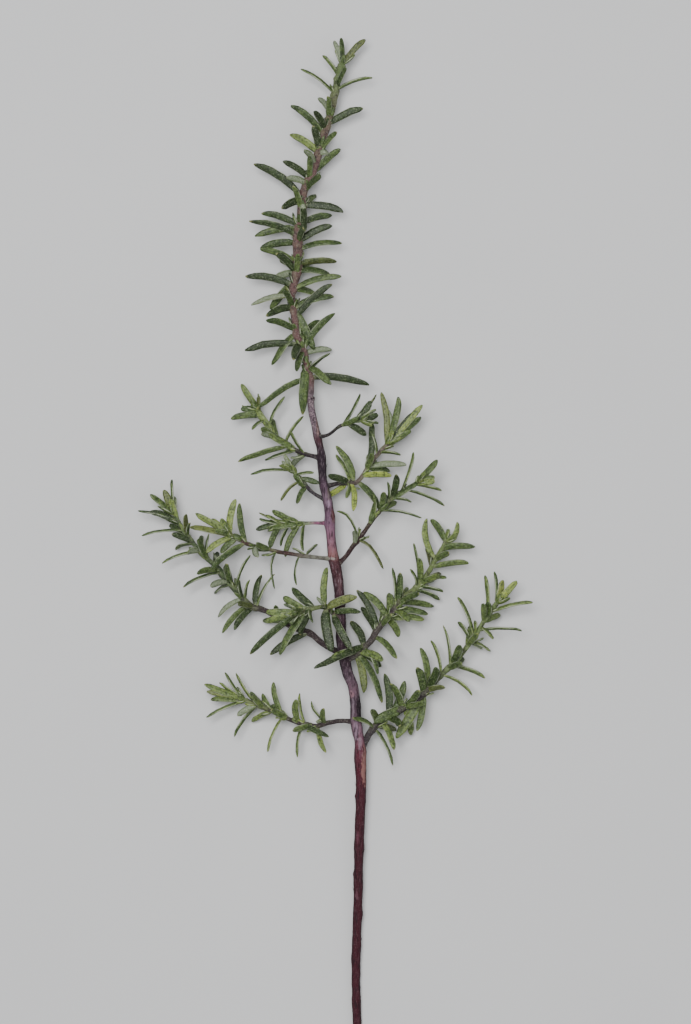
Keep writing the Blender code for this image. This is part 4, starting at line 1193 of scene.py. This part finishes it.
def with_nodes(host, tree, **inputs):
    """The plain mesh that a node tree makes of an object, which is then removed."""
    modifier = host.modifiers.new("nodes", "NODES")
    modifier.node_group = tree
    for socket in tree.interface.items_tree:
        if socket.in_out == "INPUT" and socket.name in inputs:
            modifier[socket.identifier] = inputs[socket.name]
    graph = bpy.context.evaluated_depsgraph_get()
    mesh = bpy.data.meshes.new_from_object(host.evaluated_get(graph))
    bpy.data.objects.remove(host)
    return mesh


def spike_mesh():
    """A hair of down: a thin three-cornered body on its broad end, pointed at the other."""
    work = bmesh.new()
    width, length = DOWN_SIZE
    foot = [work.verts.new((width * math.cos(k * math.tau / 3) * MM,
                            width * math.sin(k * math.tau / 3) * MM, -width * MM))
            for k in range(3)]
    end = work.verts.new((0.0, width * MM, length * MM))
    work.faces.new(foot)
    for k in range(3):
        work.faces.new((foot[k - 1], foot[k], end))
    return plain_mesh("down_pattern", work)


def flake_mesh():
    """A loose flake of bark: a thin strip whose end curls away from the stem."""
    work = bmesh.new()
    width, length, thick = FLAKE_SIZE
    rings = [[work.verts.new((side * width * breadth * MM, share * length * MM,
                              (lift + up * thick) * MM))
              for side, up in ((-0.5, 0), (0.5, 0), (0.5, 1), (-0.5, 1))]
             for share, breadth, lift in FLAKE_CURL]
    ring_faces(work, rings)
    work.faces.new(rings[0])
    work.faces.new(rings[-1])
    return plain_mesh("flake_pattern", work)


def scatter_tree():
    """A node tree that scatters a pattern over bark. Its Z stands off it, its Y runs up."""
    tree, given = new_tree("rosemary_scatter", Pattern="Object", Density="Float", Lean="Float",
                           Seed="Int")

    def drawn(low, high, offset):
        seed = number(tree, "ADD", given["Seed"], offset)
        return add_node(tree, "FunctionNodeRandomValue", {2: low, 3: high, "Seed": seed},
                        data_type="FLOAT").outputs[1]

    height = axis(tree, add_node(tree, "GeometryNodeInputPosition").outputs[0], "Z")
    slope = axis(tree, add_node(tree, "GeometryNodeInputNormal").outputs[0], "Y")
    free = number(tree, "MULTIPLY", number(tree, "GREATER_THAN", height, SCATTER_LOWEST * MM),
                  number(tree, "GREATER_THAN", slope, CUT_FACING))
    spots = add_node(tree, "GeometryNodeDistributePointsOnFaces",
                     {"Mesh": given["Geometry"], "Selection": free,
                      "Density": given["Density"], "Seed": given["Seed"]})
    standing = add_node(tree, "FunctionNodeAxesToRotation",
                        {0: spots.outputs["Normal"], 1: (0.0, 1.0, 0.0)},
                        primary_axis="Z", secondary_axis="Y").outputs[0]
    back = number(tree, "MULTIPLY", given["Lean"], -1.0)
    leant = add_node(tree, "ShaderNodeCombineXYZ",
                     {k: drawn(back, given["Lean"], k) for k in range(3)})
    angle = add_node(tree, "FunctionNodeEulerToRotation", {0: leant.outputs[0]}).outputs[0]
    rotation = add_node(tree, "FunctionNodeRotateRotation", {0: standing, 1: angle},
                        rotation_space="LOCAL").outputs[0]
    pattern = add_node(tree, "GeometryNodeObjectInfo", {"Object": given["Pattern"]})
    placed = add_node(tree, "GeometryNodeInstanceOnPoints",
                      {"Points": spots.outputs["Points"], "Rotation": rotation,
                       "Instance": pattern.outputs["Geometry"],
                       "Scale": drawn(SCATTER_SMALLEST, 1.0, 3)})
    real = add_node(tree, "GeometryNodeRealizeInstances", {"Geometry": placed.outputs[0]})
    return finish_tree(tree, given, real.outputs[0])


def scattered(name, bark, tree, **inputs):
    """The plain mesh of a pattern scattered over a copy of a bark mesh."""
    mesh = with_nodes(new_object(name + "_host", bark.copy()), tree, **inputs)
    for key in [item.name for item in mesh.attributes if item.name in ("tint", "along", "around")]:
        mesh.attributes.remove(mesh.attributes[key])
    return new_object(name, mesh)


def down_material():
    """The short white hairs of young rosemary bark."""
    return new_material("white_down", Base_Color=linear("#B9BAA8"), Metallic=0.0, Roughness=0.9)[0]


def sprig_twigs():
    """The twigs of the leader and of the side shoots, in the order in which they grow."""
    return [Twig(LEADER)] + [Twig(shoot) for shoot in SIDE_SHOOTS]


def relief(at, angle, around, lengthwise, offset):
    """Smooth noise on a tube's surface, stretched along it."""
    return noise.noise(Vector((math.cos(angle) * around, math.sin(angle) * around,
                               at * lengthwise + offset)))


def leaf_bases(line, blades):
    """Where leaves grow from a line: the distance along it and the angle round it."""
    along = lengths_along(line)
    frames = frames_along(line)
    bases = []
    for blade in blades:
        k = min(range(len(line)), key=lambda k: (line[k] - blade.root).length)
        _, across, upward = frames[k]
        aim = blade.bend - blade.root
        bases.append((along[k], math.atan2(aim.dot(upward), aim.dot(across))))
    return bases


def base_share(bases, at, angle):
    """How much a place on a twig belongs to the foot of a leaf, which runs down the twig."""
    share = 0.0
    for foot, aside in bases:
        ahead = at - foot
        if not -FOOT_REACH * FOOT_DOWN < ahead < FOOT_REACH * FOOT_UP:
            continue
        reach = FOOT_UP if ahead > 0 else FOOT_DOWN
        share += math.exp(-(ahead / reach) ** 2 - (turned(angle, aside) / FOOT_ANGLE) ** 2)
    return min(share, 1.0)


def fullness(twig, at):
    """How much thicker than in the plan a twig's bark is at a distance along it, as a share."""
    grown = held((at - twig.shoot.get("full_from", FULL_FROM)) / FULL_OVER + 0.5)
    return twig.shoot.get("fullness", TWIG_FULLNESS) * grown


def bring_forward(twig, blade):
    """Raises a leaf that the plan shows in front of its own twig until it clears the bark."""
    middle = blade.point(0.5)
    at = nearest_along_space(twig.path, middle)
    below = place_along(twig.path, at)[0]
    reach = twig.radius(at) * (1 + fullness(twig, at))
    aside = (middle - below).to_2d().length
    lack = below.z + reach + OVER_TWIG - middle.z
    if aside < reach + (0.5 - OVERLAP) * blade.width and lack > 0:
        blade.bend = blade.bend + FORWARD_BEND * lack * UP
        blade.tip = blade.tip + lack * UP


def curl(twig, blade):
    """Pulls a curled leaf's curve towards its own plan point, and narrows the leaf."""
    x, y = plan_point(blade.tip)
    for (tip_x, tip_y), (bend_x, bend_y, share) in twig.shoot.get("curls", {}).items():
        if math.hypot(x - tip_x, y - tip_y) < SAME_TIP:
            blade.bend = on_plan(bend_x, bend_y, blade.bend.z)
            blade.width *= share


def twig_mesh(twig, blades):
    """A twig with the feet of its leaves on it, a flared base and fine lengthwise ridges."""
    line = smooth_line(twig.path, TWIG_STEP)
    bases = leaf_bases(line, blades)
    flare = 0.0 if twig.shoot is LEADER else FLARE

    def radius_at(at, angle):
        rough = TWIG_RELIEF * relief(at, angle, *TWIG_RIDGES, twig.shoot["seed"])
        base = flare * math.exp(-max(at - FLARE_START, 0) / FLARE_LENGTH)
        foot = FOOT_SWELL * base_share(bases, at, angle)
        return twig.radius(at) * (1 + fullness(twig, at) + foot + base + rough)

    mesh = lofted(twig.name + "_twig", line, radius_at, TWIG_SIDES)
    low, high, turns_green = twig.shoot["bark"]
    stem = Vector(linear(twig.shoot.get("base", low)))
    low, high, foot = Vector(linear(low)), Vector(linear(high)), Vector(linear(FOOT_COLOUR))
    tint = mesh.attributes.new("tint", "FLOAT_COLOR", "POINT")
    places = zip(tint.data, mesh.attributes["along"].data, mesh.attributes["around"].data)
    for item, far, around in places:
        at = far.value / MM
        blend = held((at / twig.length - turns_green) / GREEN_BLEND + 0.5)
        bark = low.lerp(high, blend)
        bark = bark.lerp(stem, max(1 - at / BASE_LENGTH, 0.0))
        tinted = FOOT_TINT_BROWN + (FOOT_TINT - FOOT_TINT_BROWN) * blend
        item.color = bark.lerp(foot, tinted * base_share(bases, at, around.value))
    return mesh


def turned(angle, other):
    """The angle between two directions round a tube, from minus to plus half a turn."""
    return (angle - other + math.pi) % (2 * math.pi) - math.pi


def stem_x(plan_y):
    """The plan x of the stem's middle line at a plan y."""
    return numpy.interp(-plan_y, [-row[1] for row in STEM_PATH], [row[0] for row in STEM_PATH])


def stem_line():
    """The stem's middle line, how far along it each place is, and its diameter there."""
    line = smooth_line(stem_places(), STEM_STEP)
    along, given = lengths_along(line), lengths_along(stem_places())
    spread = numpy.interp([at * given[-1] / along[-1] for at in along], given,
                          [row[3] for row in STEM_PATH])
    return line, along, spread


def stem_mesh(ridges):
    """The woody stem: swollen where shoots grow out of it, with bumps, scars and ridges."""
    line, along, spread = stem_line()
    joints = [nearest_along(stem_places(), *shoot["path"][0]) for shoot in SIDE_SHOOTS]
    bumps = [(nearest_along(line, stem_x(y), y), *rest) for y, *rest in BARK_BUMPS]

    def radius_at(at, angle):
        swell = min(sum(math.exp(-((at - joint) / JOINT_LENGTH) ** 2) for joint in joints), 1)
        bulge = sum(high * math.exp(-((at - place) / long) ** 2
                                    - (turned(angle, aside) / BUMP_ANGLE) ** 2)
                    for place, aside, high, long in bumps)
        rough = sum(share * relief(at, angle, *shape) for share, *shape in STEM_RELIEF)
        radius = 0.5 * float(numpy.interp(at, along, spread))
        return radius * (1 + JOINT_SWELL * swell + bulge + ridges * rough)

    return lofted("main_stem_bark", line, radius_at, STEM_SIDES, (False, False))


def cut_end(mesh):
    """Cuts the foot of the stem off at a slant. The cut face has the mesh's second material."""
    place = stem_places()[0] + Vector((0, CUT_INSET, 0))
    normal = Vector((0, -math.cos(CUT_SLANT), math.sin(CUT_SLANT)))
    work = bmesh.new()
    work.from_mesh(mesh)
    cut = bmesh.ops.bisect_plane(work, geom=work.verts[:] + work.edges[:] + work.faces[:],
                                 plane_co=place * MM, plane_no=normal, clear_outer=True)
    rim = [item for item in cut["geom_cut"] if isinstance(item, bmesh.types.BMEdge)]
    for face in bmesh.ops.edgeloop_fill(work, edges=rim)["faces"]:
        face.material_index = 1
        face.smooth = False
    bmesh.ops.recalc_face_normals(work, faces=work.faces)
    work.to_mesh(mesh)
    work.free()


class RosemaryLooks(bpy.types.PropertyGroup):
    """Sizes of the finish that a user would change."""

    leaf_thickness: FloatProperty(
        name="Leaf thickness", description="From the rolled margins to the top of a leaf",
        default=1.25 * MM, unit="LENGTH", precision=5)
    leaf_twist: FloatProperty(
        name="Leaf twist", description="The most that a leaf turns about itself up to its tip",
        default=0.45, subtype="ANGLE")
    leaf_wave: FloatProperty(
        name="Leaf wave", description="How far the waves bend a leaf's middle line",
        default=1.4 * MM, unit="LENGTH", precision=5)
    leaf_fray: FloatProperty(
        name="Leaf fray", description="How uneven a leaf's surface and outline are",
        default=0.55 * MM, unit="LENGTH", precision=5)
    leaf_seed: IntProperty(name="Leaf seed", description="Seed of the leaves' twist", default=5)
    down_density: FloatProperty(
        name="Down density", description="Hairs on a square metre of young bark", default=1.4e6)
    down_lean: FloatProperty(
        name="Down lean", description="The most that a hair leans over", default=0.7,
        subtype="ANGLE")
    flake_density: FloatProperty(
        name="Flake density", description="Flakes on a square metre of old bark", default=3.0e4)
    flake_lean: FloatProperty(
        name="Flake lean", description="The most that a flake is turned", default=0.18,
        subtype="ANGLE")
    scatter_seed: IntProperty(
        name="Scatter seed", description="Seed of the places of hairs and flakes", default=8)
    bark_relief: FloatProperty(
        name="Bark relief", description="Depth of the stem's ridges as a share of its radius",
        default=0.11, subtype="FACTOR")


class RosemaryStage(bpy.types.PropertyGroup):
    """The floor, the light and the camera."""

    floor_colour: FloatVectorProperty(
        name="Floor colour", description="Colour of the painted board under the sprig",
        default=linear("#D2D2D2"), size=4, subtype="COLOR")
    camera_height: FloatProperty(
        name="Camera height", description="From the sprig's middle plane up to the camera",
        default=2.0, unit="LENGTH")
    sky_strength: FloatProperty(
        name="Sky strength", description="Brightness of the even light from all round",
        default=0.36)
    lamp_power: FloatProperty(
        name="Lamp power", description="Power of the large soft lamp", default=40.0, unit="POWER")


class ROSEMARY_OT_stem(bpy.types.Operator):
    """Make the woody stem"""
    bl_idname = "rosemary.stem"
    bl_label = "Woody stem"

    def execute(self, context):
        looks = context.scene.rosemary_looks
        mesh = stem_mesh(looks.bark_relief)
        cut_end(mesh)
        finish = stem_material()
        mesh.materials.append(finish)
        mesh.materials.append(wood_material())
        pattern = new_object("flake_pattern", flake_mesh())
        flakes = scattered("main_stem_flakes", mesh, scatter_tree(), Pattern=pattern,
                           Density=looks.flake_density, Lean=looks.flake_lean,
                           Seed=looks.scatter_seed, Material=finish)
        bpy.data.objects.remove(pattern)
        finish_piece(new_object("main_stem_bark", mesh), "main_stem")
        finish_piece(flakes, "main_stem")
        return {"FINISHED"}


class ROSEMARY_OT_leafy_stems(bpy.types.Operator):
    """Grow the twigs and leaves of the leader and the side shoots"""
    bl_idname = "rosemary.leafy_stems"
    bl_label = "Leafy stems"

    def execute(self, context):
        looks = context.scene.rosemary_looks
        twigs = sprig_twigs()
        grown = grow(twigs)
        leaf = new_object("leaf_pattern", leaf_mesh())
        hair = new_object("down_pattern", spike_mesh())
        tree, scatter = leaf_tree(), scatter_tree()
        blade_finish, bark_finish, down_finish = leaf_material(), twig_material(), down_material()
        for twig in twigs:
            fine = random.Random(twig.shoot["seed"] + FINE_SEED)
            blades = grown[twig.name]
            young = [*inner_tuft(twig, fine), *axil_leaves(twig, blades, fine)]
            host = leaf_points(twig, blades + young, fine)
            mesh = with_nodes(host, tree, Leaf=leaf, Thickness=looks.leaf_thickness,
                              Twist=looks.leaf_twist, Wave=looks.leaf_wave,
                              Fray=looks.leaf_fray, Seed=looks.leaf_seed, Material=blade_finish)
            for key in ("root", "bend", "tip", "side", "width", "depth"):
                mesh.attributes.remove(mesh.attributes[key])
            finish_piece(new_object(twig.name + "_leaves", mesh), twig.name)
            bark = twig_mesh(twig, blades)
            bark.materials.append(bark_finish)
            down = scattered(twig.name + "_down", bark, scatter, Pattern=hair,
                             Density=looks.down_density, Lean=looks.down_lean,
                             Seed=looks.scatter_seed + twig.shoot["seed"], Material=down_finish)
            finish_piece(new_object(twig.name + "_twig", bark), twig.name)
            finish_piece(down, twig.name)
        for pattern in (leaf, hair):
            bpy.data.objects.remove(pattern)
        return {"FINISHED"}


class ROSEMARY_OT_stage(bpy.types.Operator):
    """Lay the floor and set up the soft light and the camera"""
    bl_idname = "rosemary.stage"
    bl_label = "Floor, light and camera"

    def execute(self, context):
        stage = context.scene.rosemary_stage
        self.make_floor(stage)
        self.make_light(context, stage)
        self.make_camera(context, stage)
        return {"FINISHED"}

    def make_floor(self, stage):
        work = bmesh.new()
        bmesh.ops.create_grid(work, x_segments=2, y_segments=2, size=FLOOR_HALF_SIZE)
        mesh = bpy.data.meshes.new("floor")
        work.to_mesh(mesh)
        work.free()
        made, tree, shader = new_material("painted_board_matt", Metallic=0.0, Roughness=0.9)
        mottle = noise_at(tree, object_place(tree), FLOOR_MOTTLE, 4.0)
        colour = lay_over(tree, tuple(stage.floor_colour),
                          (mottle, 0.3, 0.7, 0.0, 0.05, "#9A9A9C"))
        tree.links.new(colour, shader.inputs["Base Color"])
        mesh.materials.append(made)
        new_object("floor", mesh)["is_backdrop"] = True

    def make_light(self, context, stage):
        world = bpy.data.worlds.new("studio")
        world.use_nodes = True
        sky = world.node_tree.nodes["Background"]
        sky.inputs[0].default_value = linear("#F4F6FA")
        sky.inputs[1].default_value = stage.sky_strength
        context.scene.world = world
        for name, place, size, share in LAMPS:
            data = bpy.data.lights.new(name, "AREA")
            data.size = size
            data.energy = stage.lamp_power * share
            lamp = new_object(name, data)
            lamp.location = place
            lamp.rotation_euler = (-Vector(place)).to_track_quat("-Z", "Y").to_euler()

    def make_camera(self, context, stage):
        data = bpy.data.cameras.new("camera")
        camera = new_object("camera", data)
        centre = on_plan(*PICTURE_CENTRE, SPRIG_HEIGHT) * MM
        camera.location = centre + Vector((0, 0, stage.camera_height))
        field = PICTURE_LONG_SIDE * PLAN_UNIT * MM
        data.sensor_width = SENSOR
        data.lens = SENSOR * stage.camera_height / field
        data.clip_end = CAMERA_REACH
        context.scene.camera = camera


class ROSEMARY_PT_panel(bpy.types.Panel):
    """The makers of the sprig's pieces, in the order in which they are run"""
    bl_idname = "ROSEMARY_PT_panel"
    bl_label = "Rosemary sprig"
    bl_space_type = "VIEW_3D"
    bl_region_type = "UI"
    bl_category = "Rosemary"

    def draw(self, context):
        column = self.layout.column()
        for group in (context.scene.rosemary_looks, context.scene.rosemary_stage):
            for key in group.__annotations__:
                column.prop(group, key)
        for operator in OPERATORS:
            column.operator(operator.bl_idname)


OPERATORS = (ROSEMARY_OT_stem, ROSEMARY_OT_leafy_stems, ROSEMARY_OT_stage)
CLASSES = (RosemaryLooks, RosemaryStage, *OPERATORS, ROSEMARY_PT_panel)


def register():
    for kind in CLASSES:
        bpy.utils.register_class(kind)
    bpy.types.Scene.rosemary_looks = PointerProperty(type=RosemaryLooks)
    bpy.types.Scene.rosemary_stage = PointerProperty(type=RosemaryStage)


def unregister():
    del bpy.types.Scene.rosemary_stage
    del bpy.types.Scene.rosemary_looks
    for kind in reversed(CLASSES):
        bpy.utils.unregister_class(kind)


def main():
    register()
    bpy.ops.rosemary.stem()
    bpy.ops.rosemary.leafy_stems()
    bpy.ops.rosemary.stage()
    boxes = {"cad": CAD_BOX, "visual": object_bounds()}
    {key: [list(corner) for corner in box] for key, box in boxes.items()}


if __name__ == "__main__":
    main()
